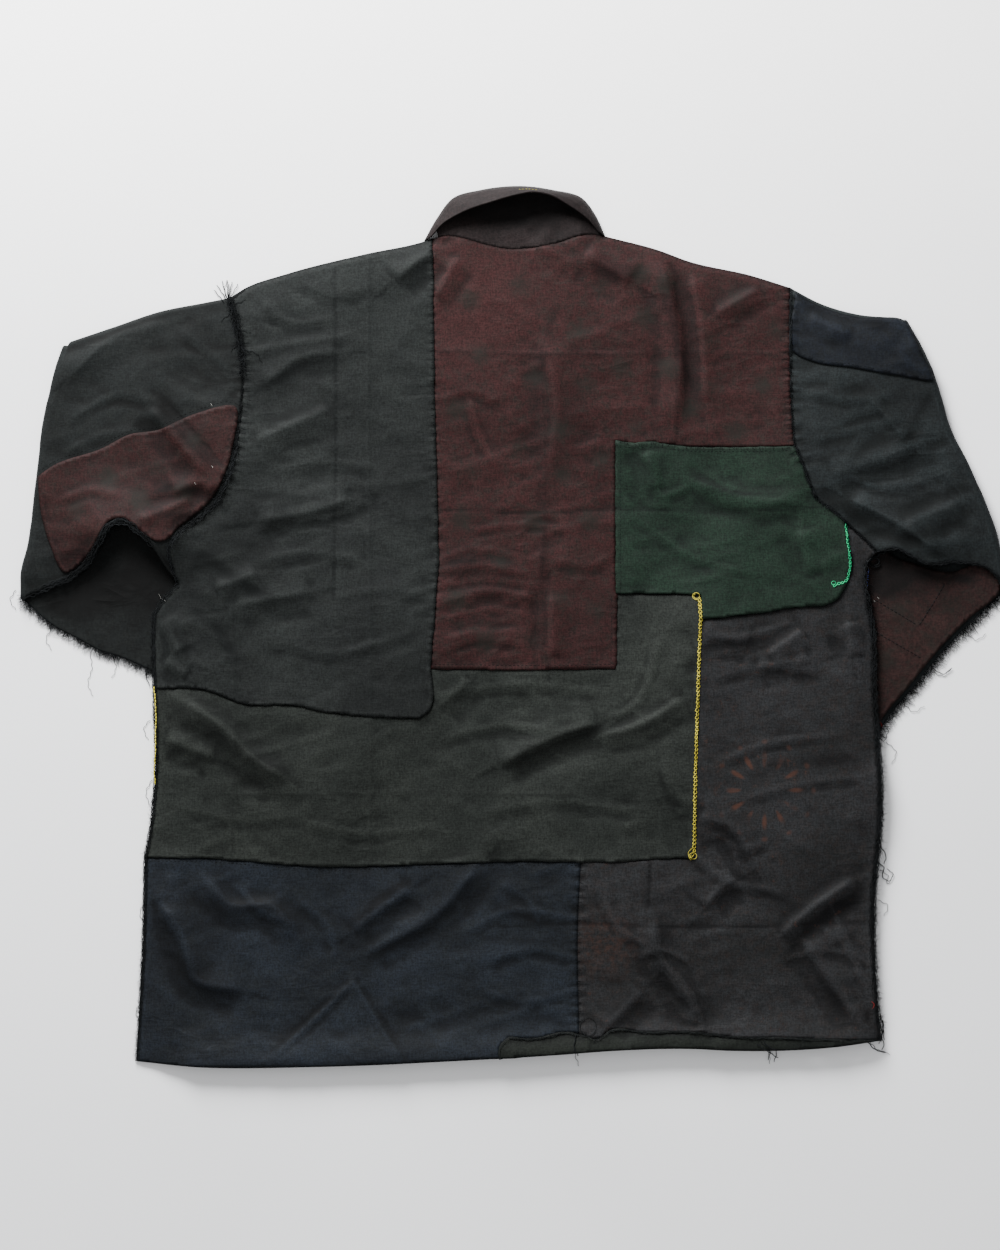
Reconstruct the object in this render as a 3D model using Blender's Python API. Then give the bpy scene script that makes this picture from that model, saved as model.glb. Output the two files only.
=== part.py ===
# A patched jacket laid flat on its front, so that its back shows. Both sleeves are
# folded under at the elbow, and the forearms run back beneath the body.
# Metres, +Z up. The neck points to +Y and the hem to -Y, and the floor is at z = 0.
import math

import bmesh
import bpy
import numpy as np
from mathutils import Vector
from mathutils.bvhtree import BVHTree
from mathutils.geometry import delaunay_2d_cdt

for leftover in list(bpy.data.objects):
    bpy.data.objects.remove(leftover)

# Driving sizes
CHEST_WIDTH = 0.660  # side seam to side seam under the arms
WALL = 0.0012  # one layer of quilted, doubled cotton
SEAM_GAP = 0.0003  # between two pieces that are sewn edge to edge
SLEEVE_AIR = 0.0008  # between the two layers of a flattened forearm
LAYER_REST = 0.0008  # between a forearm and what lies on it
EDGE_AIR = 0.0009  # between back and front where a seam closes them
BODY_AIR = 0.0022  # more air than that away from the seams
AIR_REACH = 0.030  # how far in from a seam the air is full
LEDGE = 0.010  # a layer stays level this far past what it lies on
DRAPE = 0.075  # and comes down to the floor over this length
MOST_SLANT = 1.25  # a steep layer is measured no thicker than this many walls
FOLD_MARGIN = 0.018  # folds die out this near a closed seam
FALL_RISE = 0.027  # the free edge of the collar above its fold
LEAF_WALL = 0.0012  # the collar's front halves, pressed flat
RIDGE_WIDTH = 0.0050  # raw seam allowances that stand up along a seam
RIDGE_HEIGHT = 0.0028
RIDGE_INSET = 0.0060  # of an underarm ridge from the sleeve's edge
SIDE_INSET = 0.0034  # of a side ridge from the side seam
RIDGE_REST = 0.0005  # a ridge's foot above the cloth it stands on
STAND_SLOPE = 0.034  # the stand of the collar comes down over this length
STAND_RIM_Z = 0.0030  # and ends this high, under the fall
FALL_WALL = 0.0016  # the collar's fall, two layers pressed together
FALL_END_SHARE = 0.3  # of the rise is left where the fall turns under at the neck
FALL_SWELL = 0.9  # how soon the fall stands up away from its ends
FALL_FOOT = 1.3  # walls of the fall that its foot takes up beside the stand

# How far a piece is raised by what it is lapped over
NAVY_LEVEL = 0.0
BROWN_LEVEL = 0.0001
HEM_LEVEL = 0.0006
OLIVE_LEVEL = 0.0005
MAROON_LEVEL = 0.0009
LEFT_LEVEL = 0.0012
GREEN_LEVEL = 0.0016
SLEEVE_LEVEL = 0.0010

# How finely the cloth is divided
BACK_GRID = 0.025
FRONT_GRID = 0.031
STAND_GRID = 0.016
RIDGE_STEP = 0.014
CREST_STEP = 0.018  # between points along the crest of a fold
CREST_APART = 0.4  # of that step at least lies between points of two folds
CREST_FROM_EDGE = 0.3  # of the back's grid at least lies between a crest and an edge
GRID_FROM_CREST = 0.5
GRID_FROM_EDGE = 0.45
LEAST_SPREAD = 0.35  # keeps the mitre of a sharp corner short
MERGE_NEARER = 1e-7
LINE_STEPS = 400
EDGE_STEP = 0.0022  # from a sleeve's fold edge to where its layers part
EDGE_LEAN = 0.4  # how far that point leans along its row
BEND_FADE = (2.0, 6.0)  # how soon the bend of an armhole fades down the sleeve, top and underarm
UPPER_STATIONS = 11
FOREARM_STATIONS = 6
TURN_ANGLES = [math.radians(a) for a in (45, 90, 135)]
FALL_STATIONS = 17
STAND_END_STATIONS = 2  # of the fall's stations that the stand stops short of, at each end
SLOPE_STEP = 0.001
UNDER_ALONG = (0.0, 0.2, 0.4)  # where the cloth under a ridge is felt, towards the next section
UNDER_ACROSS = (-0.5, -0.25, 0.0, 0.25, 0.5)

# Cross-section of the fall: share of the way from fold to free edge, share of the rise
FALL_PROFILE = [(0.0, 0.0), (0.04, 0.28), (0.22, 0.56), (0.58, 0.82), (1.0, 1.0)]
# Cross-section of a raw seam allowance: shares of its width and height
RIDGE_PROFILE = [(-0.5, 0.0), (0.5, 0.0), (0.42, 0.62), (0.05, 1.0), (-0.38, 0.75)]

# Outlines are read in pixels of the photograph, and the chest gives their size.
CHEST_PIXELS = 717
PIXEL = CHEST_WIDTH / CHEST_PIXELS
CENTRE_PIXEL = (514, 626)

NECK_SEAM = [(432, 239), (445, 236), (461, 238), (486, 245), (507, 249), (532, 248), (561, 242),
             (584, 235), (603, 236)]
LEFT_SHOULDER = [(432, 239), (423, 242), (367, 254), (287, 274), (244, 289), (230, 298)]
RIGHT_SHOULDER = [(603, 236), (660, 251), (687, 261), (752, 276), (790, 288)]
LEFT_ARMHOLE = [(230, 298), (240, 343), (243, 376), (241, 410), (237, 443), (230, 473), (217, 501),
                (199, 518), (181, 532), (170, 548), (172, 566), (178, 584)]
RIGHT_ARMHOLE = [(790, 288), (790, 315), (790, 341), (792, 418), (795, 447), (801, 461), (809, 483),
                 (818, 501), (830, 509), (844, 521), (856, 532), (867, 542), (876, 552)]
LEFT_SIDE_HIGH = [(178, 584), (165, 597), (155, 612), (153, 640), (153, 662), (154, 687)]
LEFT_SIDE_MID = [(154, 687), (155, 780), (150, 830), (145, 857)]
LEFT_SIDE_LOW = [(145, 857), (143, 940), (136, 1061)]
RIGHT_UNDERARM = [(876, 552), (868, 562), (866, 577), (869, 605)]
RIGHT_SIDE = [(869, 605), (873, 625), (875, 691), (878, 737), (881, 806), (879, 844), (875, 883),
              (874, 940), (877, 997), (881, 1040)]
LEFT_HEM = [(136, 1061), (190, 1066), (320, 1066), (500, 1058)]
STRIP_END = [(500, 1058), (501, 1045), (509, 1037)]
STRIP_TOP = [(509, 1037), (534, 1038), (568, 1032), (579, 1034)]
STRIP_TOP_RIGHT = [(579, 1034), (598, 1038), (609, 1031), (646, 1032), (694, 1032), (729, 1036),
                   (788, 1038), (881, 1040)]
STRIP_HEM = [(500, 1058), (560, 1054), (614, 1050), (689, 1048), (734, 1050), (828, 1047),
             (881, 1040)]
LEFT_PANEL_EDGE = [(432, 239), (434, 400), (437, 576), (430, 668)]
LEFT_PANEL_CORNER = [(430, 668), (429, 709), (419, 718)]
LEFT_PANEL_HEM = [(419, 718), (367, 715), (325, 711), (298, 705), (245, 703), (207, 689),
                  (154, 687)]
MAROON_FOOT = [(430, 668), (540, 669), (615, 668)]
MAROON_SIDE = [(615, 668), (616, 593)]
GREEN_SIDE = [(616, 593), (616, 441)]
GREEN_TOP = [(616, 441), (632, 444), (653, 443), (675, 446), (733, 448), (795, 447)]
GREEN_RIGHT = [(844, 521), (847, 541), (850, 570), (843, 589), (835, 600), (820, 605)]
GREEN_FOOT = [(820, 605), (798, 606), (755, 613), (725, 616), (700, 619)]
OLIVE_CORNER = [(700, 619), (701, 594)]
OLIVE_TOP = [(701, 594), (655, 593), (616, 593)]
OLIVE_RIGHT = [(700, 619), (699, 647), (697, 712), (695, 777), (693, 858)]
OLIVE_FOOT_RIGHT = [(693, 858), (657, 858), (622, 861), (581, 861)]
OLIVE_FOOT = [(581, 861), (500, 861), (375, 865), (325, 866), (268, 862), (214, 858),
              (145, 857)]
NAVY_RIGHT = [(581, 861), (578, 921), (579, 1034)]

LEFT_SLEEVE_TOP = [(230, 298), (204, 303), (159, 312), (115, 327), (62, 345)]
LEFT_ELBOW = [(62, 345), (53, 380), (43, 424), (38, 469), (33, 507), (28, 545), (21, 573),
              (19, 600)]
LEFT_UNDERARM = [(178, 584), (165, 566), (153, 547), (139, 533), (124, 523), (112, 526), (103, 540),
                 (96, 553), (86, 567), (70, 579), (49, 588), (19, 600)]
LEFT_FOREARM_TOP = [(62, 345), (413, 644)]
LEFT_FOREARM_FOOT = [(19, 600), (48, 625), (73, 638), (95, 650), (115, 656), (150, 672),
                     (313, 782)]
RIGHT_SLEEVE_TOP = [(790, 288), (821, 304), (859, 315), (894, 318), (907, 319)]
RIGHT_ELBOW = [(907, 319), (934, 376), (942, 400), (949, 425), (970, 468), (989, 513),
               (1000, 548), (1009, 590)]
RIGHT_UNDERARM_EDGE = [(876, 552), (898, 550), (914, 559), (930, 565), (950, 563), (985, 568),
                       (1009, 590)]
RIGHT_FOREARM_TOP = [(907, 319), (656, 733)]
RIGHT_FOREARM_FOOT = [(1009, 590), (976, 621), (955, 642), (932, 669), (916, 689), (896, 712),
                      (880, 738), (794, 831)]

SLEEVE_PATCH = [(38, 477), (54, 466), (102, 449), (130, 435), (163, 429), (179, 421), (199, 413),
                (234, 407), (231, 443), (224, 472), (211, 496), (193, 512), (172, 526), (153, 523),
                (140, 515), (122, 503), (104, 506), (97, 526), (92, 548), (84, 560), (70, 571),
                (51, 545), (43, 519)]
SHOULDER_PATCH = [(795, 296), (821, 309), (859, 320), (902, 324), (918, 356), (932, 382),
                  (897, 376), (851, 368), (813, 362), (795, 354)]
FOREARM_PATCH = [(902, 560), (860, 540), (800, 560), (812, 655), (828, 740), (868, 736), (888, 710),
                 (908, 687), (924, 667), (947, 640), (968, 619), (1000, 588), (994, 560), (950, 572)]

COLLAR_FOLD = [(424, 241), (437, 218), (453, 198), (480, 190), (519, 186), (553, 190), (582, 198),
               (596, 216), (605, 236)]
COLLAR_FREE_EDGE = [(430, 238), (443, 224), (461, 214), (492, 203), (516, 196), (533, 193),
                    (550, 196), (568, 206), (588, 220), (599, 233)]
STAND_ENDS = [(438, 237.6), (596, 235.6)]
COLLAR_LEAF = [(427, 245), (404, 258), (408, 292), (430, 330), (468, 360), (513, 374), (513, 329),
               (482, 320), (455, 299), (437, 272)]
LEFT_NECKLINE = [(424, 242), (437, 272), (455, 299), (482, 320), (514, 328)]
RIGHT_NECKLINE = [(604, 237), (591, 272), (573, 299), (546, 320), (514, 328)]
CENTRE_FRONT = [(514, 328), (514, 1058)]
LEFT_FRONT_HEM = [(514, 1058), (320, 1061), (190, 1061), (137, 1056)]
RIGHT_FRONT_HEM = [(514, 1058), (614, 1046), (734, 1045), (879, 1036)]

# Folds of the showing side: height, half width, then the line along the crest
FOLDS = [
    (0.0040, 0.014, [(257, 441), (330, 408)]),
    (0.0035, 0.012, [(264, 386), (304, 357), (341, 353)]),
    (0.0045, 0.012, [(257, 522), (315, 511), (352, 500)]),
    (0.0040, 0.011, [(216, 588), (257, 573)]),
    (0.0035, 0.012, [(235, 606), (312, 592)]),
    (0.0050, 0.012, [(396, 280), (433, 250)]),
    (0.0030, 0.010, [(436, 298), (458, 258)]),
    (0.0040, 0.010, [(160, 621), (180, 654)]),
    (0.0030, 0.010, [(165, 662), (187, 676)]),
    (0.0050, 0.013, [(662, 258), (680, 350), (676, 426)]),
    (0.0040, 0.010, [(692, 272), (702, 330), (706, 402)]),
    (0.0040, 0.014, [(584, 254), (632, 282)]),
    (0.0040, 0.011, [(716, 314), (760, 288)]),
    (0.0030, 0.010, [(436, 572), (480, 566), (530, 575)]),
    (0.0030, 0.010, [(440, 602), (500, 592), (536, 600)]),
    (0.0030, 0.010, [(445, 637), (520, 630)]),
    (0.0035, 0.010, [(552, 594), (552, 658)]),
    (0.0030, 0.014, [(545, 340), (556, 400), (550, 470)]),
    (0.0040, 0.011, [(696, 482), (744, 498), (800, 502)]),
    (0.0030, 0.010, [(648, 450), (652, 490)]),
    (0.0030, 0.012, [(800, 530), (812, 575)]),
    (0.0070, 0.013, [(186, 702), (222, 726), (254, 758), (286, 779)]),
    (0.0040, 0.011, [(165, 739), (215, 758)]),
    (0.0070, 0.012, [(501, 764), (549, 740), (598, 723)]),
    (0.0040, 0.011, [(598, 737), (636, 726), (684, 699)]),
    (0.0030, 0.012, [(440, 706), (470, 680)]),
    (0.0050, 0.012, [(158, 899), (187, 952), (194, 977), (244, 991)]),
    (0.0045, 0.012, [(205, 878), (230, 904), (272, 906), (297, 938)]),
    (0.0040, 0.011, [(353, 931), (381, 910), (410, 889)]),
    (0.0050, 0.010, [(256, 1069), (318, 1016), (353, 980)]),
    (0.0050, 0.010, [(353, 980), (378, 1019), (406, 1065)]),
    (0.0040, 0.012, [(367, 952), (438, 913), (477, 867)]),
    (0.0035, 0.010, [(702, 634), (750, 643)]),
    (0.0035, 0.010, [(768, 654), (802, 631)]),
    (0.0030, 0.010, [(757, 667), (809, 660)]),
    (0.0040, 0.010, [(847, 622), (854, 657)]),
    (0.0060, 0.012, [(781, 934), (813, 907), (854, 879)]),
    (0.0040, 0.011, [(698, 818), (730, 827), (750, 858)]),
    (0.0040, 0.011, [(705, 907), (723, 886), (736, 879)]),
    (0.0060, 0.012, [(653, 920), (660, 955), (688, 993), (702, 1024)]),
    (0.0040, 0.011, [(605, 1028), (626, 1007), (643, 990)]),
    (0.0050, 0.012, [(802, 938), (837, 990), (862, 1024)]),
    (-0.0030, 0.009, [(161, 397), (220, 463)]),
    (0.0040, 0.011, [(150, 408), (206, 474)]),
    (0.0050, 0.010, [(172, 493), (205, 485), (214, 494)]),
    (0.0050, 0.010, [(139, 520), (191, 500)]),
    (0.0030, 0.014, [(70, 378), (121, 334), (165, 324)]),
    (0.0060, 0.012, [(850, 500), (890, 520), (936, 550)]),
    (0.0040, 0.011, [(905, 524), (960, 503)]),
    (0.0040, 0.012, [(830, 476), (880, 460), (915, 448)]),
    (0.0035, 0.011, [(870, 400), (905, 440)]),
    (0.0035, 0.010, [(810, 316), (850, 336)]),
]

# Where an underarm stands up off the forearm beneath it: height, half width, line
ARCHES = [
    (0.0150, 0.030, [(112, 530), (124, 528), (146, 542)]),
    (0.0080, 0.024, [(900, 548), (926, 560)]),
]

# Looks: colour, roughness
MAROON_CLOTH = ((0.062, 0.022, 0.023), 0.85)
COLOURS = {
    "back_left": ((0.022, 0.030, 0.029), 0.85),
    "back_maroon": MAROON_CLOTH,
    "back_green": ((0.012, 0.036, 0.022), 0.85),
    "back_olive": ((0.025, 0.030, 0.025), 0.85),
    "back_navy": ((0.014, 0.018, 0.034), 0.85),
    "back_brown": ((0.027, 0.022, 0.023), 0.85),
    "hem_strip": ((0.018, 0.023, 0.020), 0.88),
    "front_left": ((0.022, 0.026, 0.026), 0.85),
    "front_right": ((0.024, 0.022, 0.023), 0.85),
    "sleeve_left": ((0.020, 0.027, 0.027), 0.85),
    "sleeve_left_patch": MAROON_CLOTH,
    "sleeve_right": ((0.020, 0.026, 0.030), 0.85),
    "sleeve_right_shoulder_patch": ((0.014, 0.018, 0.034), 0.85),
    "sleeve_right_forearm_patch": MAROON_CLOTH,
    "collar_stand": ((0.038, 0.028, 0.027), 0.85),
    "collar_fall": ((0.046, 0.034, 0.033), 0.85),
    "collar_front_left": ((0.038, 0.028, 0.027), 0.85),
    "collar_front_right": ((0.038, 0.028, 0.027), 0.85),
}
ALLOWANCE_LOOK = ((0.010, 0.012, 0.012), 0.95)


def plan(pixels):
    # pixels of the photograph as points of the floor, in metres
    points = np.array(pixels, float) - CENTRE_PIXEL
    return points * (PIXEL, -PIXEL)


def smooth(t):
    t = np.clip(t, 0.0, 1.0)
    return t * t * (3.0 - 2.0 * t)


def distance(points, line):
    best = np.full(len(points), np.inf)
    for start, end in zip(line[:-1], line[1:]):
        along = end - start
        t = np.clip((points - start) @ along / (along @ along), 0.0, 1.0)
        best = np.minimum(best, np.linalg.norm(points - start - t[:, None] * along, axis=1))
    return best


def inside(points, outline):
    result = np.zeros(len(points), bool)
    for start, end in zip(outline, np.roll(outline, -1, axis=0)):
        crosses = (start[1] > points[:, 1]) != (end[1] > points[:, 1])
        rise = end[1] - start[1]
        if rise == 0.0:
            continue
        at = start[0] + (points[:, 1] - start[1]) * (end[0] - start[0]) / rise
        result ^= crosses & (points[:, 0] < at)
    return result


def distance_outside(points, outline):
    closed = np.vstack([outline, outline[:1]])
    return np.where(inside(points, outline), 0.0, distance(points, closed))


def join(*lines):
    # one closed outline from lines that follow each other, each shared end kept once
    points = []
    for line in lines:
        for point in line:
            if not points or point != points[-1]:
                points.append(point)
    if points[0] == points[-1]:
        points.pop()
    return points


def back(line):
    return list(reversed(line))


LEFT_FOREARM = join(back(LEFT_ELBOW), LEFT_FOREARM_TOP, back(LEFT_FOREARM_FOOT))
RIGHT_FOREARM = join(back(RIGHT_ELBOW), RIGHT_FOREARM_TOP, back(RIGHT_FOREARM_FOOT))
RIGHT_COLLAR_LEAF = [(2 * CENTRE_PIXEL[0] - x, y) for x, y in COLLAR_LEAF]
SKY = 1.0  # rays that feel the cloth start this high
DOWN = Vector((0.0, 0.0, -1.0))
FOREARM_TOP_Z = 2 * WALL + SLEEVE_AIR
PATCHED_FOREARM_Z = FOREARM_TOP_Z + SEAM_GAP + WALL
SUPPORTS = [
    (plan(LEFT_FOREARM), FOREARM_TOP_Z + LAYER_REST),
    (plan(RIGHT_FOREARM), PATCHED_FOREARM_Z + LAYER_REST),
    (plan(COLLAR_LEAF), LEAF_WALL + SEAM_GAP),
    (plan(RIGHT_COLLAR_LEAF), LEAF_WALL + SEAM_GAP),
]
CLOSED_SEAMS = [
    plan(LEFT_SHOULDER + LEFT_SLEEVE_TOP),
    plan(back(LEFT_UNDERARM) + LEFT_SIDE_HIGH + LEFT_SIDE_MID + LEFT_SIDE_LOW),
    plan(RIGHT_SHOULDER + RIGHT_SLEEVE_TOP),
    plan(back(RIGHT_UNDERARM_EDGE) + RIGHT_UNDERARM + RIGHT_SIDE),
]
CREASES = [(height, width, plan(line)) for height, width, line in FOLDS]
LIFTS = [(height, width, plan(line)) for height, width, line in ARCHES]


def under_layer(points):
    # the underside of the fronts and of the upper sleeves' lower layers
    height = np.zeros(len(points))
    for outline, top in SUPPORTS:
        away = distance_outside(points, outline)
        height = np.maximum(height, top * (1.0 - smooth((away - LEDGE) / DRAPE)))
    for rise, width, line in LIFTS:
        away = distance(points, line) / width
        height = height + np.where(away < 3.0, rise * np.exp(-away * away), 0.0)
    return height


def top_layer(points):
    # the showing side of the back and of the upper sleeves, before any lap
    seam = np.full(len(points), np.inf)
    for line in CLOSED_SEAMS:
        keep = np.any(np.diff(line, axis=0) != 0.0, axis=1)
        line = np.vstack([line[:1], line[1:][keep]])
        seam = np.minimum(seam, distance(points, line))
    relief = BODY_AIR * smooth(seam / AIR_REACH)
    for rise, width, line in CREASES:
        away = distance(points, line) / width
        relief = relief + rise * np.exp(-away * away) * smooth(seam / FOLD_MARGIN)
    return under_layer(points) + 2.0 * WALL + EDGE_AIR + np.maximum(relief, 0.0)


def slant(surface, points):
    # how much thicker than its wall a sloping layer is when it is measured upright
    slopes = []
    for step in ((SLOPE_STEP, 0.0), (0.0, SLOPE_STEP)):
        slopes.append((surface(points + step) - surface(points - step)) / (2.0 * SLOPE_STEP))
    slope_x, slope_y = slopes
    return np.minimum(np.sqrt(1.0 + slope_x**2 + slope_y**2), MOST_SLANT)


def area(outline):
    x, y = outline[:, 0], outline[:, 1]
    return 0.5 * float(np.sum(x * np.roll(y, -1) - np.roll(x, -1) * y))


def inset(outline, amount):
    # the outline moved inwards, with every corner mitred
    if area(outline) < 0.0:
        outline = outline[::-1]
    before = outline - np.roll(outline, 1, axis=0)
    after = np.roll(outline, -1, axis=0) - outline
    before /= np.linalg.norm(before, axis=1)[:, None]
    after /= np.linalg.norm(after, axis=1)[:, None]
    normal_before = np.stack([-before[:, 1], before[:, 0]], axis=1)
    normal_after = np.stack([-after[:, 1], after[:, 0]], axis=1)
    spread = 1.0 + np.sum(normal_before * normal_after, axis=1)
    return outline + amount * (normal_before + normal_after) / np.maximum(spread, LEAST_SPREAD)[:, None]


def divided(outline, longest):
    points = []
    for start, end in zip(outline, np.roll(outline, -1, axis=0)):
        count = max(1, math.ceil(np.linalg.norm(end - start) / longest))
        points += [start + (end - start) * i / count for i in range(count)]
    return np.array(points)


def even(line, count):
    # count points spaced evenly along a line
    steps = np.linalg.norm(np.diff(line, axis=0), axis=1)
    along = np.concatenate([[0.0], np.cumsum(steps)])
    at = np.linspace(0.0, along[-1], count)
    return np.stack([np.interp(at, along, line[:, k]) for k in range(2)], axis=1)


def staggered_grid(outline, spacing):
    low, high = outline.min(axis=0), outline.max(axis=0)
    row_step = spacing * math.sqrt(3.0) / 2.0
    points = []
    columns = range(math.floor(low[0] / spacing) - 1, math.ceil(high[0] / spacing) + 1)
    for row in range(math.floor(low[1] / row_step), math.ceil(high[1] / row_step) + 1):
        shift = 0.5 * (row % 2)
        for column in columns:
            points.append(((column + shift) * spacing, row * row_step))
    points = np.array(points)
    closed = np.vstack([outline, outline[:1]])
    return points[inside(points, outline) & (distance(points, closed) > GRID_FROM_EDGE * spacing)]


def triangles_in(points, loop_size, edges=()):
    # constrained Delaunay triangles inside the loop that the first points make
    loop = list(range(loop_size))
    corners = [Vector(p) for p in points]
    found = delaunay_2d_cdt(corners, list(edges), [loop], 1, MERGE_NEARER, False)
    flat = np.array([tuple(v) for v in found[0]])
    faces = []
    outline = np.array(points[:loop_size])
    for face in found[2]:
        centre = flat[list(face)].mean(axis=0)
        if inside(centre[None, :], outline)[0]:
            faces.append(list(face))
    return flat, faces


def add_object(name, points, faces, look):
    mesh = bpy.data.meshes.new(name)
    mesh.from_pydata([tuple(p) for p in points], [], [tuple(f) for f in faces])
    work = bmesh.new()
    work.from_mesh(mesh)
    loose = [v for v in work.verts if not v.link_faces]
    bmesh.ops.delete(work, geom=loose, context="VERTS")
    bmesh.ops.recalc_face_normals(work, faces=work.faces)
    work.to_mesh(mesh)
    work.free()
    piece = bpy.data.objects.new(name, mesh)
    bpy.context.scene.collection.objects.link(piece)
    colour, roughness = look
    material = bpy.data.materials.new(name)
    material.use_nodes = True
    shader = material.node_tree.nodes["Principled BSDF"]
    shader.inputs["Base Color"].default_value = (*colour, 1.0)
    shader.inputs["Roughness"].default_value = roughness
    shader.inputs["Metallic"].default_value = 0.0
    mesh.materials.append(material)
    return piece


def close_sheet(name, flat, faces, low, high, look):
    # a closed wall between two heights over the same triangles
    count = len(flat)
    points = [(*flat[i], high[i]) for i in range(count)]
    points += [(*flat[i], low[i]) for i in range(count)]
    solid = []
    border = {}
    for face in faces:
        a, b, c = flat[face[0]], flat[face[1]], flat[face[2]]
        turn = (b[0] - a[0]) * (c[1] - a[1]) - (b[1] - a[1]) * (c[0] - a[0])
        face = face if turn > 0.0 else face[::-1]
        solid.append(face)
        solid.append([i + count for i in reversed(face)])
        for start, end in zip(face, face[1:] + face[:1]):
            if (end, start) in border:
                del border[(end, start)]
            else:
                border[(start, end)] = True
    for start, end in border:
        solid.append([end, start, start + count, end + count])
    return add_object(name, points, solid, look)


def crest_points(outline):
    # points along the folds that run over a piece
    closed = np.vstack([outline, outline[:1]])
    found = np.empty((0, 2))
    for _, _, line in CREASES:
        length = float(np.linalg.norm(np.diff(line, axis=0), axis=1).sum())
        crest = even(line, max(3, round(length / CREST_STEP) + 1))
        crest = crest[inside(crest, outline) & (distance(crest, closed) > CREST_FROM_EDGE * BACK_GRID)]
        for point in crest:
            apart = np.linalg.norm(found - point, axis=1)
            if len(found) == 0 or apart.min() > CREST_APART * CREST_STEP:
                found = np.vstack([found, point])
    return found


def panel(name, pixels, level):
    # one piece of the back, its showing side set by the folds
    outline = divided(inset(plan(pixels), SEAM_GAP / 2.0), BACK_GRID)
    crest = crest_points(outline)
    grid = staggered_grid(outline, BACK_GRID)
    if len(crest):
        apart = np.linalg.norm(grid[:, None, :] - crest[None, :, :], axis=2).min(axis=1)
        grid = grid[apart > GRID_FROM_CREST * BACK_GRID]
    points = np.vstack([outline, crest, grid])
    flat, faces = triangles_in(points, len(outline))
    high = top_layer(flat) + level
    low = high - WALL * slant(top_layer, flat)
    return close_sheet(name, flat, faces, low, high, COLOURS[name])


def front(name, pixels):
    outline = divided(inset(plan(pixels), SEAM_GAP / 2.0), FRONT_GRID)
    points = np.vstack([outline, staggered_grid(outline, FRONT_GRID)])
    flat, faces = triangles_in(points, len(outline))
    low = under_layer(flat)
    high = low + WALL * slant(under_layer, flat)
    return close_sheet(name, flat, faces, low, high, COLOURS[name])


def flat_leaf(name, pixels):
    outline = divided(inset(plan(pixels), SEAM_GAP), FRONT_GRID)
    flat, faces = triangles_in(outline, len(outline))
    low = np.zeros(len(flat))
    return close_sheet(name, flat, faces, low, low + LEAF_WALL, COLOURS[name])


def rows_between(start, end, top, foot, across, along):
    # rows of points from the edge called top to the edge called foot. The first row
    # has the bend of the start line, the last row the bend of the end line.
    lines = [even(line, LINE_STEPS) for line in (start, end, top, foot)]
    at = np.linspace(0.0, 1.0, LINE_STEPS)
    across = np.array(across)
    bends = []
    for line in lines[:2]:
        curve = np.stack([np.interp(across, at, line[:, k]) for k in range(2)], axis=1)
        bends.append(curve - line[0] - across[:, None] * (line[-1] - line[0]))
    rows = []
    for v in along:
        edge_top = np.array([np.interp(v, at, lines[2][:, k]) for k in range(2)])
        edge_foot = np.array([np.interp(v, at, lines[3][:, k]) for k in range(2)])
        straight = edge_top + across[:, None] * (edge_foot - edge_top)
        fade = (1.0 - v) ** (BEND_FADE[0] + BEND_FADE[1] * across)
        rows.append(straight + fade[:, None] * bends[0] + v * v * bends[1])
    return rows


def unit(vector):
    return vector / np.linalg.norm(vector)


def inward_ways(rows, index):
    # square to both edges and into the sleeve; along the row where the sleeve is cut or turns
    row = rows[index]
    first, last = unit(row[1] - row[0]), unit(row[-2] - row[-1])
    if index in (0, len(rows) - 1):
        return first, last
    ways = []
    for end, along_row in ((0, first), (-1, last)):
        ahead = unit(rows[index + 1][end] - rows[index - 1][end])
        square = np.array([-ahead[1], ahead[0]])
        square *= np.sign(square @ along_row)
        ways.append(unit(square + EDGE_LEAN * along_row))
    return ways[0], ways[1]


def edge_points(row, ways):
    # the row with one more point just inside each edge
    near_first = row[0] + ways[0] * EDGE_STEP
    near_last = row[-1] + ways[1] * EDGE_STEP
    return np.vstack([row[:1], near_first[None], row[1:-1], near_last[None], row[-1:]])


def ring(row, ways, top_z, upper_inner, lower_inner, bottom_z):
    # one turn round the flattened tube: its outer points, then its inner ones
    inner_row = row.copy()
    inner_row[0] += ways[0] * WALL
    inner_row[-1] += ways[1] * WALL
    last_index = len(row) - 1
    outer, inner = [], []
    order = [(i, True) for i in range(last_index)]
    order += [(i, False) for i in range(last_index, 0, -1)]
    for i, over in order:
        if i in (0, last_index):
            outer.append((*row[i], 0.5 * (top_z[i] + bottom_z[i])))
            inner.append((*inner_row[i], 0.5 * (upper_inner[i] + lower_inner[i])))
        elif over:
            outer.append((*row[i], top_z[i]))
            inner.append((*inner_row[i], upper_inner[i]))
        else:
            outer.append((*row[i], bottom_z[i]))
            inner.append((*inner_row[i], lower_inner[i]))
    return np.array(outer), np.array(inner)


def moved_aside(line, amount):
    # an open line moved to its left, with every corner mitred
    ahead = np.diff(line, axis=0)
    ahead /= np.linalg.norm(ahead, axis=1)[:, None]
    side = np.stack([-ahead[:, 1], ahead[:, 0]], axis=1)
    before = np.vstack([side[:1], side])
    after = np.vstack([side, side[-1:]])
    spread = 1.0 + np.sum(before * after, axis=1)
    return line + amount * (before + after) / spread[:, None]


def shares(line):
    # how far along a line each of its points is, from nought to one
    steps = np.linalg.norm(np.diff(line, axis=0), axis=1)
    along = np.concatenate([[0.0], np.cumsum(steps)])
    return along / along[-1]


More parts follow.
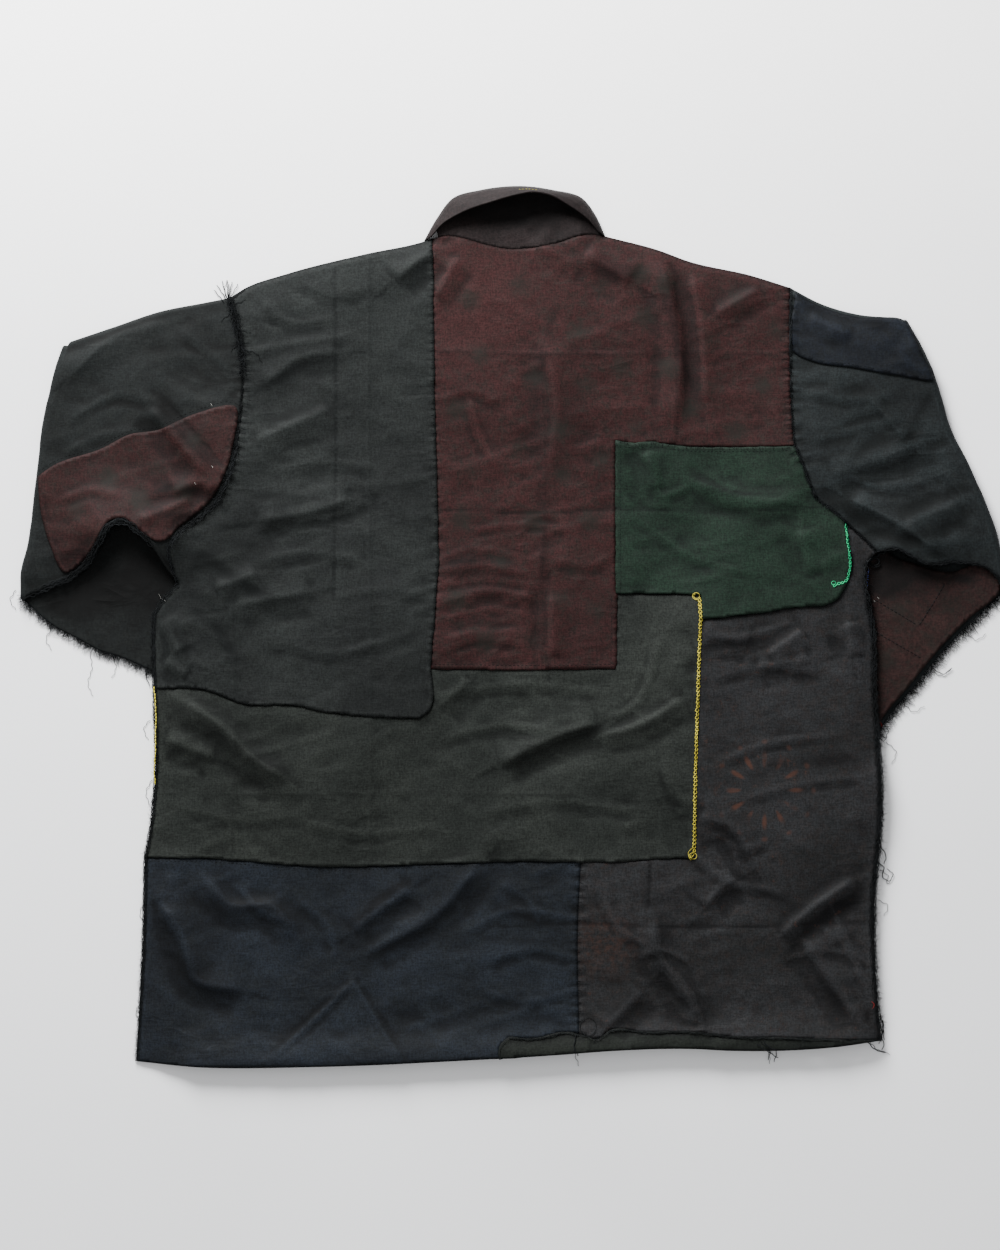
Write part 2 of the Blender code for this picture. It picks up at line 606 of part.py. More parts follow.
def sleeve(name, armhole, top, underarm, elbow, forearm_top, forearm_foot):
    armhole, top, underarm, elbow = plan(armhole), plan(top), plan(underarm), plan(elbow)
    forearm_top, forearm_foot = plan(forearm_top), plan(forearm_foot)
    chord = elbow[-1] - elbow[0]
    out = np.array([chord[1], -chord[0]]) / np.linalg.norm(chord)
    if out @ (elbow[0] - armhole[0]) < 0.0:
        out = -out
    aside = moved_aside(armhole, SEAM_GAP / 2.0)
    if (aside - armhole)[len(armhole) // 2] @ (elbow[0] - armhole[0]) < 0.0:
        aside = moved_aside(armhole, -SEAM_GAP / 2.0)
    across = shares(aside)
    turn_radius = 0.5 * float(top_layer(elbow).mean() + SLEEVE_LEVEL)
    shift = out * turn_radius
    top[0], underarm[0] = aside[0], aside[-1]
    top[-1] -= shift
    underarm[-1] -= shift
    down = np.linspace(0.0, 1.0, UPPER_STATIONS)
    upper = rows_between(aside, elbow - shift, top, underarm, across, down)
    upper[0] = aside
    cuff = np.vstack([forearm_top[-1:], forearm_foot[-1:]])
    down = np.linspace(0.0, 1.0, FOREARM_STATIONS)
    lower = rows_between(elbow - shift, cuff, forearm_top - shift, forearm_foot - shift, across, down)
    rings = []
    for index in range(UPPER_STATIONS):
        ways = inward_ways(upper, index)
        row = edge_points(upper[index], ways)
        top_z = top_layer(row) + SLEEVE_LEVEL
        bottom_z = under_layer(row)
        upper_inner = top_z - WALL * slant(top_layer, row)
        lower_inner = bottom_z + WALL * slant(under_layer, row)
        rings.append(ring(row, ways, top_z, upper_inner, lower_inner, bottom_z))
    flat_rings = []
    for index in range(FOREARM_STATIONS):
        ways = inward_ways(lower, index)
        row = edge_points(lower[index], ways)
        heights = (0.0, WALL, WALL + SLEEVE_AIR, FOREARM_TOP_Z)
        flat_rings.append(ring(row, ways, *[np.full(len(row), z) for z in heights]))
    turned = []
    for angle in TURN_ANGLES:
        pair = []
        for high, low in zip(rings[-1], flat_rings[0]):
            centre = 0.5 * (high[:, 2] + low[:, 2])
            radius = 0.5 * (high[:, 2] - low[:, 2])
            mix = angle / math.pi
            flat = (1.0 - mix) * high[:, :2] + mix * low[:, :2]
            flat = flat + out * (radius * math.sin(angle))[:, None]
            pair.append(np.column_stack([flat, centre + radius * math.cos(angle)]))
        turned.append(tuple(pair))
    rings = rings + turned + flat_rings
    size = len(rings[0][0])
    points, faces = [], []
    for outer, inner in rings:
        points += list(outer) + list(inner)
    for station in range(len(rings) - 1):
        for wall in range(2):
            a = station * 2 * size + wall * size
            b = a + 2 * size
            for i in range(size):
                j = (i + 1) % size
                # both layers are split along the same diagonal of the plan
                if i < size // 2:
                    faces += [[a + i, a + j, b + j], [a + i, b + j, b + i]]
                else:
                    faces += [[a + i, a + j, b + i], [a + j, b + j, b + i]]
    for station in (0, len(rings) - 1):
        a = station * 2 * size
        for i in range(size):
            j = (i + 1) % size
            faces.append([a + i, a + j, a + size + j, a + size + i])
    add_object(name, points, faces, COLOURS[name])
    over = size // 2
    top_faces = []
    for station in range(UPPER_STATIONS - 1):
        a = station * 2 * size
        b = a + 2 * size
        for i in range(1, over):
            top_faces += [[a + i, a + i + 1, b + i + 1], [a + i, b + i + 1, b + i]]
    return np.array(points), top_faces


def lying_patch(name, pixels, points, faces, wall):
    # a piece sewn on a panel, over the panel's own facets
    outline = plan(pixels)
    if area(outline) < 0.0:
        outline = outline[::-1]
    used = sorted({i for face in faces for i in face})
    place = {old: len(outline) + new for new, old in enumerate(used)}
    flat_points = np.vstack([outline, points[used][:, :2]])
    edges = set()
    for face in faces:
        for start, end in zip(face, face[1:] + face[:1]):
            edges.add(tuple(sorted((place[start], place[end]))))
    flat, inner_faces = triangles_in(flat_points, len(outline), sorted(edges))
    tree = BVHTree.FromPolygons([tuple(p) for p in points], [tuple(f) for f in faces])
    low = np.zeros(len(flat))
    needed = sorted({i for face in inner_faces for i in face})
    for i in needed:
        hit = tree.ray_cast(Vector((*flat[i], SKY)), DOWN)[0]
        if hit is None:
            hit = tree.find_nearest(Vector((*flat[i], PATCHED_FOREARM_Z)))[0]
        low[i] = hit.z + SEAM_GAP
    return close_sheet(name, flat, inner_faces, low, low + wall, COLOURS[name])


def flat_piece(name, pixels, base):
    outline = divided(plan(pixels), FRONT_GRID)
    points = np.vstack([outline, staggered_grid(outline, FRONT_GRID)])
    flat, faces = triangles_in(points, len(outline))
    low = np.full(len(flat), base)
    return close_sheet(name, flat, faces, low, low + WALL, COLOURS[name])


def collar_stand():
    fold = even(plan(COLLAR_FOLD), FALL_STATIONS)
    edge = even(plan(COLLAR_FREE_EDGE), FALL_STATIONS)
    inward = (edge - fold) / np.linalg.norm(edge - fold, axis=1)[:, None]
    rim = fold + inward * (FALL_FOOT * FALL_WALL + 2.0 * SEAM_GAP)
    rim = rim[::-1][STAND_END_STATIONS:-STAND_END_STATIONS]
    neck = plan(NECK_SEAM)
    stand_neck = plan(STAND_ENDS[:1] + NECK_SEAM[1:-1] + STAND_ENDS[1:])
    outline = inset(np.vstack([stand_neck, rim]), SEAM_GAP / 2.0)
    outline = divided(outline, STAND_GRID)
    points = np.vstack([outline, staggered_grid(outline, STAND_GRID)])
    flat, faces = triangles_in(points, len(outline))

    def surface(at):
        lower = smooth(distance(at, neck) / STAND_SLOPE)
        return (1.0 - lower) * (top_layer(at) + MAROON_LEVEL) + lower * STAND_RIM_Z

    high = surface(flat)
    low = high - WALL * slant(surface, flat)
    return close_sheet("collar_stand", flat, faces, low, high, COLOURS["collar_stand"])


def collar_fall():
    fold = even(plan(COLLAR_FOLD), FALL_STATIONS)
    edge = even(plan(COLLAR_FREE_EDGE), FALL_STATIONS)
    sections = []
    for i in range(FALL_STATIONS):
        t = i / (FALL_STATIONS - 1)
        swell = math.sin(math.pi * t) ** FALL_SWELL
        rise = FALL_RISE * (FALL_END_SHARE + (1.0 - FALL_END_SHARE) * swell)
        width = float(np.linalg.norm(edge[i] - fold[i]))
        inward = (edge[i] - fold[i]) / width
        outer = np.array([(share * width, high * rise) for share, high in FALL_PROFILE])
        ahead = np.gradient(outer, axis=0)
        ahead /= np.linalg.norm(ahead, axis=1)[:, None]
        inner = outer + FALL_WALL * np.stack([ahead[:, 1], -ahead[:, 0]], axis=1)
        loop = np.vstack([outer, inner[::-1]])
        low = loop[:, 1].min()
        loop[:, 1] += SEAM_GAP - min(low, SEAM_GAP)
        sections.append([(*(fold[i] + inward * a), z) for a, z in loop])
    return swept("collar_fall", sections, COLOURS["collar_fall"])


def swept(name, sections, look):
    # a closed solid through sections that all have the same number of points
    size = len(sections[0])
    points = [p for section in sections for p in section]
    faces = []
    for station in range(len(sections) - 1):
        a = station * size
        b = a + size
        for i in range(size):
            j = (i + 1) % size
            faces += [[a + i, a + j, b + j], [a + i, b + j, b + i]]
    last = (len(sections) - 1) * size
    faces.append(list(range(size)))
    faces.append([last + i for i in reversed(range(size))])
    return add_object(name, points, faces, look)


def highest_under(cloth, line, side, index):
    # the highest point of the cloth under a ridge, nearly half way to its next sections
    spots = []
    for neighbour in (max(index - 1, 0), min(index + 1, len(line) - 1)):
        for ahead in UNDER_ALONG:
            centre = line[index] * (1.0 - ahead) + line[neighbour] * ahead
            spots += [centre + side[index] * across * RIDGE_WIDTH for across in UNDER_ACROSS]
    hits = [tree.ray_cast(Vector((*spot, SKY)), DOWN)[0] for spot in spots for tree in cloth]
    return max([0.0] + [hit.z for hit in hits if hit is not None])


def allowance(name, cloth, pixels, aside):
    # raw cloth edges standing along a seam; aside moves them in from an outer edge
    line = plan(pixels)
    length = float(np.linalg.norm(np.diff(line, axis=0), axis=1).sum())
    line = even(line, max(3, round(length / RIDGE_STEP)))
    ahead = np.gradient(line, axis=0)
    ahead /= np.linalg.norm(ahead, axis=1)[:, None]
    side = np.stack([-ahead[:, 1], ahead[:, 0]], axis=1)
    line = line + side * aside
    high = np.array([highest_under(cloth, line, side, i) for i in range(len(line))])
    sections = []
    for i in range(len(line)):
        section = []
        for across, up in RIDGE_PROFILE:
            flat = line[i] + side[i] * across * RIDGE_WIDTH
            section.append((*flat, high[i] + RIDGE_REST + up * RIDGE_HEIGHT))
        sections.append(section)
    return swept(name, sections, ALLOWANCE_LOOK)


def cloth_trees(pieces):
    # what the ridges stand on
    trees = []
    for piece in pieces:
        corners = [tuple(v.co) for v in piece.data.vertices]
        sides = [tuple(f.vertices) for f in piece.data.polygons]
        trees.append(BVHTree.FromPolygons(corners, sides))
    return trees


# The back, from the neck down
panel("back_left", join(LEFT_SHOULDER, LEFT_ARMHOLE, LEFT_SIDE_HIGH, back(LEFT_PANEL_HEM),
                        back(LEFT_PANEL_CORNER), back(LEFT_PANEL_EDGE)), LEFT_LEVEL)
panel("back_maroon", join(NECK_SEAM, RIGHT_SHOULDER, RIGHT_ARMHOLE[:5], back(GREEN_TOP),
                          back(GREEN_SIDE), back(MAROON_SIDE), back(MAROON_FOOT),
                          back(LEFT_PANEL_EDGE)), MAROON_LEVEL)
panel("back_green", join(GREEN_TOP, RIGHT_ARMHOLE[4:10], GREEN_RIGHT, GREEN_FOOT, OLIVE_CORNER,
                         OLIVE_TOP, GREEN_SIDE), GREEN_LEVEL)
panel("back_olive", join(LEFT_SIDE_MID, back(OLIVE_FOOT), back(OLIVE_FOOT_RIGHT),
                         back(OLIVE_RIGHT), OLIVE_CORNER, OLIVE_TOP, back(MAROON_SIDE),
                         back(MAROON_FOOT), LEFT_PANEL_CORNER, LEFT_PANEL_HEM), OLIVE_LEVEL)
panel("back_navy", join(LEFT_SIDE_LOW, LEFT_HEM, STRIP_END, STRIP_TOP, back(NAVY_RIGHT),
                        OLIVE_FOOT), NAVY_LEVEL)
panel("back_brown", join(OLIVE_RIGHT, OLIVE_FOOT_RIGHT, NAVY_RIGHT, STRIP_TOP_RIGHT,
                         back(RIGHT_SIDE), back(RIGHT_UNDERARM), back(RIGHT_ARMHOLE[9:]),
                         GREEN_RIGHT, GREEN_FOOT), BROWN_LEVEL)
panel("hem_strip", join(STRIP_END, STRIP_TOP, STRIP_TOP_RIGHT, back(STRIP_HEM)), HEM_LEVEL)

# The two fronts beneath, butted along the centre
front("front_left", join(LEFT_NECKLINE, CENTRE_FRONT, LEFT_FRONT_HEM, back(LEFT_SIDE_LOW[:2]),
                         back(LEFT_SIDE_MID), back(LEFT_SIDE_HIGH), back(LEFT_ARMHOLE),
                         back(LEFT_SHOULDER[1:])))
front("front_right", join(RIGHT_NECKLINE, CENTRE_FRONT, RIGHT_FRONT_HEM, back(RIGHT_SIDE[:-1]),
                          back(RIGHT_UNDERARM), back(RIGHT_ARMHOLE), back(RIGHT_SHOULDER[1:])))

# The sleeves, folded under at the elbow, and the patches on them
left_sleeve = sleeve("sleeve_left", LEFT_ARMHOLE, LEFT_SLEEVE_TOP, LEFT_UNDERARM, LEFT_ELBOW,
                     LEFT_FOREARM_TOP, LEFT_FOREARM_FOOT)
right_sleeve = sleeve("sleeve_right", RIGHT_ARMHOLE, RIGHT_SLEEVE_TOP, RIGHT_UNDERARM_EDGE,
                      RIGHT_ELBOW, RIGHT_FOREARM_TOP, RIGHT_FOREARM_FOOT)
lying_patch("sleeve_left_patch", SLEEVE_PATCH, *left_sleeve, WALL)
lying_patch("sleeve_right_shoulder_patch", SHOULDER_PATCH, *right_sleeve, WALL)
flat_piece("sleeve_right_forearm_patch", FOREARM_PATCH, FOREARM_TOP_Z + SEAM_GAP)

# The collar: stand and fall behind the neck, and its front halves pressed flat beneath
collar_stand()
collar_fall()
flat_leaf("collar_front_left", COLLAR_LEAF)
flat_leaf("collar_front_right", RIGHT_COLLAR_LEAF)

# Raw seam allowances that stand up along the seams
cloth = cloth_trees(list(bpy.data.objects))
allowance("allowance_left_armhole", cloth, LEFT_ARMHOLE[:-2], 0.0)
allowance("allowance_right_armhole", cloth, RIGHT_ARMHOLE[:-1], 0.0)
allowance("allowance_left_underarm", cloth, LEFT_UNDERARM[3:-1], -RIDGE_INSET)
allowance("allowance_right_underarm", cloth, RIGHT_UNDERARM_EDGE[:-1], RIDGE_INSET)
allowance("allowance_left_side", cloth,
          join(LEFT_SIDE_HIGH[1:], LEFT_SIDE_MID, LEFT_SIDE_LOW), SIDE_INSET)
allowance("allowance_right_side", cloth, RIGHT_UNDERARM[1:] + RIGHT_SIDE[1:], -SIDE_INSET)
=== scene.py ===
# Patched boro jacket, laid flat on its front, seen straight from above
import math

import bpy
import numpy as np
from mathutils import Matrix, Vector
from mathutils.bvhtree import BVHTree
from mathutils.geometry import delaunay_2d_cdt


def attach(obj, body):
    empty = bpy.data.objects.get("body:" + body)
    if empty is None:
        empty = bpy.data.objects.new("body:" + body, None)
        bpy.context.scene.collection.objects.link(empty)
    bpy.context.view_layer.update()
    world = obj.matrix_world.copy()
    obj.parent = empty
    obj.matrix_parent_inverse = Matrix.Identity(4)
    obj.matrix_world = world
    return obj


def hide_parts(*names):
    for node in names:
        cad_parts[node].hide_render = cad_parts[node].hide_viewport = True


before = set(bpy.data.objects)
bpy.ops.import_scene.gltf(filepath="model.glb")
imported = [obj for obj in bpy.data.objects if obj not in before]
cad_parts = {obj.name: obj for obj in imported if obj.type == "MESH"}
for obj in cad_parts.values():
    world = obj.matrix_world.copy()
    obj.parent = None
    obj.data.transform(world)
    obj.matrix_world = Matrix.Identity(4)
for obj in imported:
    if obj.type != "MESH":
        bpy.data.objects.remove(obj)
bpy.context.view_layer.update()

# The same plan as the solids: pixels of the photograph, sized by the chest
chestWidth = 0.660
chestPixels = 717
pixel = chestWidth / chestPixels
centrePixel = (514, 626)
photoSize = (1000, 1250)

# Layers of the laid-out jacket, in metres
layers = {
    "wall": 0.0012, "edgeAir": 0.0009, "bodyAir": 0.0022, "airReach": 0.030,
    "ledge": 0.010, "drape": 0.075, "foldMargin": 0.018, "sleeveAir": 0.0008,
    "layerRest": 0.0008, "seamGap": 0.0003, "sleeveLevel": 0.0010,
}
forearmTop = 2 * layers["wall"] + layers["sleeveAir"]
patchedForearmTop = forearmTop + layers["seamGap"] + layers["wall"]
neckSeam = [(432, 239), (445, 236), (461, 238), (486, 245), (507, 249), (532, 248), (561, 242), (584, 235),
            (603, 236)]
leftShoulder = [(432, 239), (423, 242), (367, 254), (287, 274), (244, 289), (230, 298)]
rightShoulder = [(603, 236), (660, 251), (687, 261), (752, 276), (790, 288)]
leftArmhole = [(230, 298), (240, 343), (243, 376), (241, 410), (237, 443), (230, 473), (217, 501),
               (199, 518), (181, 532), (170, 548), (172, 566), (178, 584)]
rightArmhole = [(790, 288), (790, 315), (790, 341), (792, 418), (795, 447), (801, 461), (809, 483),
                (818, 501), (830, 509), (844, 521), (856, 532), (867, 542), (876, 552)]
leftSideHigh = [(178, 584), (165, 597), (155, 612), (153, 640), (153, 662), (154, 687)]
leftSideMid = [(154, 687), (155, 780), (150, 830), (145, 857)]
leftSideLow = [(145, 857), (143, 940), (136, 1061)]
rightUnderarm = [(876, 552), (868, 562), (866, 577), (869, 605)]
rightSide = [(869, 605), (873, 625), (875, 691), (878, 737), (881, 806), (879, 844), (875, 883), (874, 940),
             (877, 997), (881, 1040)]
leftHem = [(136, 1061), (190, 1066), (320, 1066), (500, 1058)]
stripEnd = [(500, 1058), (501, 1045), (509, 1037)]
stripTop = [(509, 1037), (534, 1038), (568, 1032), (579, 1034)]
stripTopRight = [(579, 1034), (598, 1038), (609, 1031), (646, 1032), (694, 1032), (729, 1036), (788, 1038),
                 (881, 1040)]
stripHem = [(500, 1058), (560, 1054), (614, 1050), (689, 1048), (734, 1050), (828, 1047), (881, 1040)]
leftPanelEdge = [(432, 239), (434, 400), (437, 576), (430, 668)]
leftPanelCorner = [(430, 668), (429, 709), (419, 718)]
leftPanelHem = [(419, 718), (367, 715), (325, 711), (298, 705), (245, 703), (207, 689), (154, 687)]
maroonFoot = [(430, 668), (540, 669), (615, 668)]
maroonSide = [(615, 668), (616, 593)]
greenSide = [(616, 593), (616, 441)]
greenTop = [(616, 441), (632, 444), (653, 443), (675, 446), (733, 448), (795, 447)]
greenRight = [(844, 521), (847, 541), (850, 570), (843, 589), (835, 600), (820, 605)]
greenFoot = [(820, 605), (798, 606), (755, 613), (725, 616), (700, 619)]
oliveCorner = [(700, 619), (701, 594)]
oliveTop = [(701, 594), (655, 593), (616, 593)]
oliveRight = [(700, 619), (699, 647), (697, 712), (695, 777), (693, 858)]
oliveFootRight = [(693, 858), (657, 858), (622, 861), (581, 861)]
oliveFoot = [(581, 861), (500, 861), (375, 865), (325, 866), (268, 862), (214, 858), (145, 857)]
navyRight = [(581, 861), (578, 921), (579, 1034)]

leftSleeveTop = [(230, 298), (204, 303), (159, 312), (115, 327), (62, 345)]
leftElbow = [(62, 345), (53, 380), (43, 424), (38, 469), (33, 507), (28, 545), (21, 573), (19, 600)]
leftUnderarm = [(178, 584), (165, 566), (153, 547), (139, 533), (124, 523), (112, 526), (103, 540),
                (96, 553), (86, 567), (70, 579), (49, 588), (19, 600)]
leftForearmTop = [(62, 345), (413, 644)]
leftForearmFoot = [(19, 600), (48, 625), (73, 638), (95, 650), (115, 656), (150, 672), (313, 782)]
rightSleeveTop = [(790, 288), (821, 304), (859, 315), (894, 318), (907, 319)]
rightElbow = [(907, 319), (934, 376), (942, 400), (949, 425), (970, 468), (989, 513), (1000, 548),
              (1009, 590)]
rightUnderarmEdge = [(876, 552), (898, 550), (914, 559), (930, 565), (950, 563), (985, 568), (1009, 590)]
rightForearmTop = [(907, 319), (656, 733)]
rightForearmFoot = [(1009, 590), (976, 621), (955, 642), (932, 669), (916, 689), (896, 712), (880, 738),
                    (794, 831)]

sleevePatch = [(38, 477), (54, 466), (102, 449), (130, 435), (163, 429), (179, 421), (199, 413), (236, 407),
               (234, 443), (227, 470), (214, 497), (196, 515), (178, 529), (168, 540), (160, 542),
               (148, 536), (137, 527), (124, 518), (111, 521), (101, 535), (93, 550), (83, 562), (67, 573),
               (51, 545), (43, 519)]
shoulderPatch = [(795, 293), (821, 307), (859, 318), (905, 321.5), (921, 354), (934, 379), (897, 376),
                 (851, 368), (813, 362), (795, 354)]
forearmPatch = [(902, 560), (860, 540), (800, 560), (812, 655), (828, 740), (868, 736), (888, 710),
                (908, 687), (924, 667), (947, 640), (968, 619), (1000, 588), (994, 560), (950, 572)]

collarFold = [(424, 241), (437, 218), (453, 198), (480, 190), (519, 186), (553, 190), (582, 198),
              (596, 216), (605, 236)]
collarFreeEdge = [(430, 238), (443, 224), (461, 214), (492, 203), (516, 196), (533, 193), (550, 196),
                  (568, 206), (588, 220), (599, 233)]
standEnds = [(438, 237.6), (601.5, 236.2)]
collarLeaf = [(427, 245), (404, 258), (408, 292), (430, 330), (468, 360), (513, 374), (513, 329),
              (482, 320), (455, 299), (437, 272)]
leftNeckline = [(424, 242), (437, 272), (455, 299), (482, 320), (514, 328)]
rightNeckline = [(604, 237), (591, 272), (573, 299), (546, 320), (514, 328)]
centreFront = [(514, 328), (514, 1058)]
leftFrontHem = [(514, 1058), (320, 1061), (190, 1061), (137, 1056)]
rightFrontHem = [(514, 1058), (614, 1046), (734, 1045), (879, 1036)]

# Folds of the showing side: height and half width in millimetres, then the line along the crest in pixels
folds = [
    (4, 14, [(257, 441), (330, 408)]), (3.5, 12, [(264, 386), (304, 357), (341, 353)]),
    (4.5, 12, [(257, 522), (315, 511), (352, 500)]), (4, 11, [(216, 588), (257, 573)]),
    (3.5, 12, [(235, 606), (312, 592)]), (5, 12, [(396, 280), (433, 250)]),
    (3, 10, [(436, 298), (458, 258)]), (4, 10, [(160, 621), (180, 654)]), (3, 10, [(165, 662), (187, 676)]),
    (5, 13, [(662, 258), (680, 350), (676, 426)]), (4, 10, [(692, 272), (702, 330), (706, 402)]),
    (4, 14, [(584, 254), (632, 282)]), (4, 11, [(716, 314), (760, 288)]),
    (1.8, 8, [(436, 572), (480, 566), (530, 575)]), (1.8, 8, [(440, 602), (500, 592), (536, 600)]),
    (1.8, 8, [(445, 637), (520, 630)]), (3.5, 10, [(552, 594), (552, 658)]),
    (3, 14, [(545, 340), (556, 400), (550, 470)]), (4, 11, [(696, 482), (744, 498), (800, 502)]),
    (3, 10, [(648, 450), (652, 490)]), (3, 12, [(800, 530), (812, 575)]),
    (7, 13, [(186, 702), (222, 726), (254, 758), (286, 779)]), (4, 11, [(165, 739), (215, 758)]),
    (7, 12, [(501, 764), (549, 740), (598, 723)]), (4, 11, [(598, 737), (636, 726), (684, 699)]),
    (3, 12, [(440, 706), (470, 680)]), (5, 12, [(158, 899), (187, 952), (194, 977), (244, 991)]),
    (4.5, 12, [(205, 878), (230, 904), (272, 906), (297, 938)]),
    (4, 11, [(353, 931), (381, 910), (410, 889)]), (1.1, 3.4, [(256, 1069), (318, 1016), (353, 980)]),
    (0.9, 3, [(353, 980), (378, 1019), (406, 1065)]), (4, 12, [(367, 952), (438, 913), (477, 867)]),
    (3.5, 10, [(702, 634), (750, 643)]), (3.5, 10, [(768, 654), (802, 631)]),
    (3, 10, [(757, 667), (809, 660)]), (4, 10, [(847, 622), (854, 657)]),
    (6, 12, [(781, 934), (813, 907), (854, 879)]), (4, 11, [(698, 818), (730, 827), (750, 858)]),
    (4, 11, [(705, 907), (723, 886), (736, 879)]),
    (6, 12, [(653, 920), (660, 955), (688, 993), (702, 1024)]),
    (4, 11, [(605, 1028), (626, 1007), (643, 990)]), (5, 12, [(802, 938), (837, 990), (862, 1024)]),
    (-3, 9, [(161, 397), (220, 463)]), (4, 11, [(150, 408), (206, 474)]),
    (5, 10, [(172, 493), (205, 485), (214, 494)]), (5, 10, [(139, 520), (191, 500)]),
    (3, 14, [(70, 378), (121, 334), (165, 324)]), (6, 12, [(850, 500), (890, 520), (936, 550)]),
    (4, 11, [(905, 524), (960, 503)]), (4, 12, [(830, 476), (880, 460), (915, 448)]),
    (3.5, 11, [(870, 400), (905, 440)]), (3.5, 10, [(810, 316), (850, 336)]),
]

# Where an underarm, the hem or the right side stands up off what is beneath it, in the same way
arches = [
    (15, 30, [(112, 530), (124, 528), (146, 542)]), (8, 24, [(900, 548), (926, 560)]),
    (7.8, 22, [(200, 1064), (500, 1055), (700, 1046), (860, 1043)]),
    (4.8, 18, [(882, 780), (878, 900), (881, 1000)]),
]
# Press creases from being stored folded, in the same way
pressLines = [
    (0.6, 1.6, [(370, 256), (370, 480), (372, 700), (371, 858)]),
    (-0.4, 1.6, [(335, 272), (336, 420), (334, 600)]),
    (0.5, 1.6, [(541, 345), (545, 500), (540, 600), (542, 664)]), (-0.5, 1.6, [(676, 284), (677, 436)]),
    (0.5, 1.6, [(438, 352), (560, 355), (700, 353), (784, 356)]),
    (-0.5, 1.6, [(438, 510), (560, 512), (614, 509), (720, 512), (822, 507)]),
    (0.5, 1.8, [(158, 793), (300, 794), (440, 793), (579, 795)]),
    (-0.5, 1.8, [(500, 926), (579, 924), (700, 927), (865, 922)]),
    (-0.7, 2, [(650, 864), (649, 888), (648, 908)]), (0.6, 1.8, [(362, 866), (366, 900), (364, 940)]),
    (0.5, 1.6, [(232, 860), (236, 700), (233, 596)]),
]

# Small creases that the solids leave out, in the same way
smallCreases = [
    (1.4, 4.5, [(436, 560), (470, 548), (520, 556)]), (1.2, 4, [(438, 586), (486, 580), (540, 588)]),
    (1.2, 4, [(444, 618), (490, 608), (530, 614)]), (1.2, 4, [(438, 652), (480, 640), (528, 646)]),
    (1.6, 4, [(470, 530), (520, 524), (575, 530)]), (1.8, 5, [(556, 560), (590, 566), (612, 556)]),
    (2, 5, [(470, 400), (482, 440), (500, 468)]), (1.8, 5, [(440, 400), (470, 392), (500, 402)]),
    (2.2, 5, [(640, 452), (656, 470), (660, 494), (690, 486)]),
    (1.8, 5, [(700, 470), (730, 488), (800, 494)]), (1.4, 5, [(640, 520), (700, 560), (760, 574)]),
    (1.8, 5, [(300, 520), (340, 514), (368, 500)]), (1.8, 6, [(262, 300), (290, 322), (330, 318)]),
    (1.6, 6, [(300, 280), (330, 296), (366, 290)]), (1.8, 6, [(250, 352), (290, 344), (350, 336)]),
    (1.6, 6, [(280, 470), (330, 462), (380, 470)]), (1.6, 6, [(270, 640), (330, 652), (392, 640)]),
    (1.4, 6, [(330, 600), (380, 590), (430, 596)]), (1.6, 6, [(260, 560), (310, 552), (360, 560)]),
    (2, 5.5, [(440, 740), (500, 726), (560, 732)]), (1.6, 6, [(460, 690), (520, 684), (600, 690)]),
    (1.6, 6, [(480, 812), (560, 802), (640, 812)]), (1.6, 6, [(300, 820), (360, 832), (440, 826)]),
    (1.6, 6, [(180, 806), (240, 820), (300, 816)]), (1.8, 5, [(660, 640), (640, 700), (600, 730)]),
    (2.2, 5, [(664, 766), (676, 792), (690, 806)]), (1.8, 5, [(468, 930), (510, 910), (576, 918)]),
    (1.8, 5, [(490, 960), (530, 950), (576, 958)]), (1.6, 5, [(480, 990), (530, 1000), (574, 990)]),
    (1.8, 5, [(500, 884), (528, 900), (540, 924)]), (1.8, 5, [(240, 886), (262, 910), (300, 924)]),
    (1.8, 5, [(300, 900), (330, 930), (336, 960)]), (2.2, 5, [(604, 900), (622, 930), (650, 944)]),
    (2.2, 4.5, [(640, 956), (662, 950), (690, 962)]), (1.8, 5, [(700, 640), (740, 636), (790, 622)]),
    (1.8, 5, [(712, 678), (760, 668), (820, 672)]), (1.8, 5, [(720, 760), (770, 742), (840, 734)]),
    (1.8, 5, [(740, 800), (800, 784), (868, 776)]), (2, 5, [(690, 850), (730, 880), (780, 890)]),
    (1.8, 5, [(780, 960), (830, 950), (868, 960)]), (1.8, 5, [(830, 900), (850, 950), (872, 990)]),
    (1.8, 5, [(72, 420), (120, 396), (160, 404)]), (1.6, 5, [(66, 452), (100, 436), (140, 430)]),
    (1.8, 5, [(180, 330), (206, 352), (232, 372)]), (2, 5, [(60, 500), (90, 490), (120, 494)]),
    (2, 5, [(800, 392), (850, 400), (890, 396)]), (2, 5, [(810, 440), (850, 430), (900, 418)]),
    (2, 5, [(846, 478), (890, 488), (930, 482)]), (1.8, 5, [(900, 350), (912, 366), (930, 374)]),
    (2.2, 5, [(940, 470), (960, 494), (980, 520)]),
]

# A pleat pressed into the navy panel: how high its middle stands, and its corners
pleat = {"rise": 0.0011, "edge": 0.0022, "corners": [(353, 978), (256, 1072), (408, 1070)]}

# Gathers along seams: height, reach from the seam, length of one gather, line
gathers = [
    (0.0009, 0.012, 0.0068, rightArmhole[:6]),
    (0.0009, 0.014, 0.0075, leftArmhole[1:7]),
    (0.0006, 0.013, 0.0095, navyRight),
    (0.0005, 0.008, 0.0080, leftPanelEdge),
    (0.0004, 0.006, 0.0070, maroonSide),
]


def plan(pixels):
    # pixels of the photograph as points of the floor, in metres
    return (np.array(pixels, float) - centrePixel) * (pixel, -pixel)


def smooth(t):
    t = np.clip(t, 0.0, 1.0)
    return t * t * (3.0 - 2.0 * t)


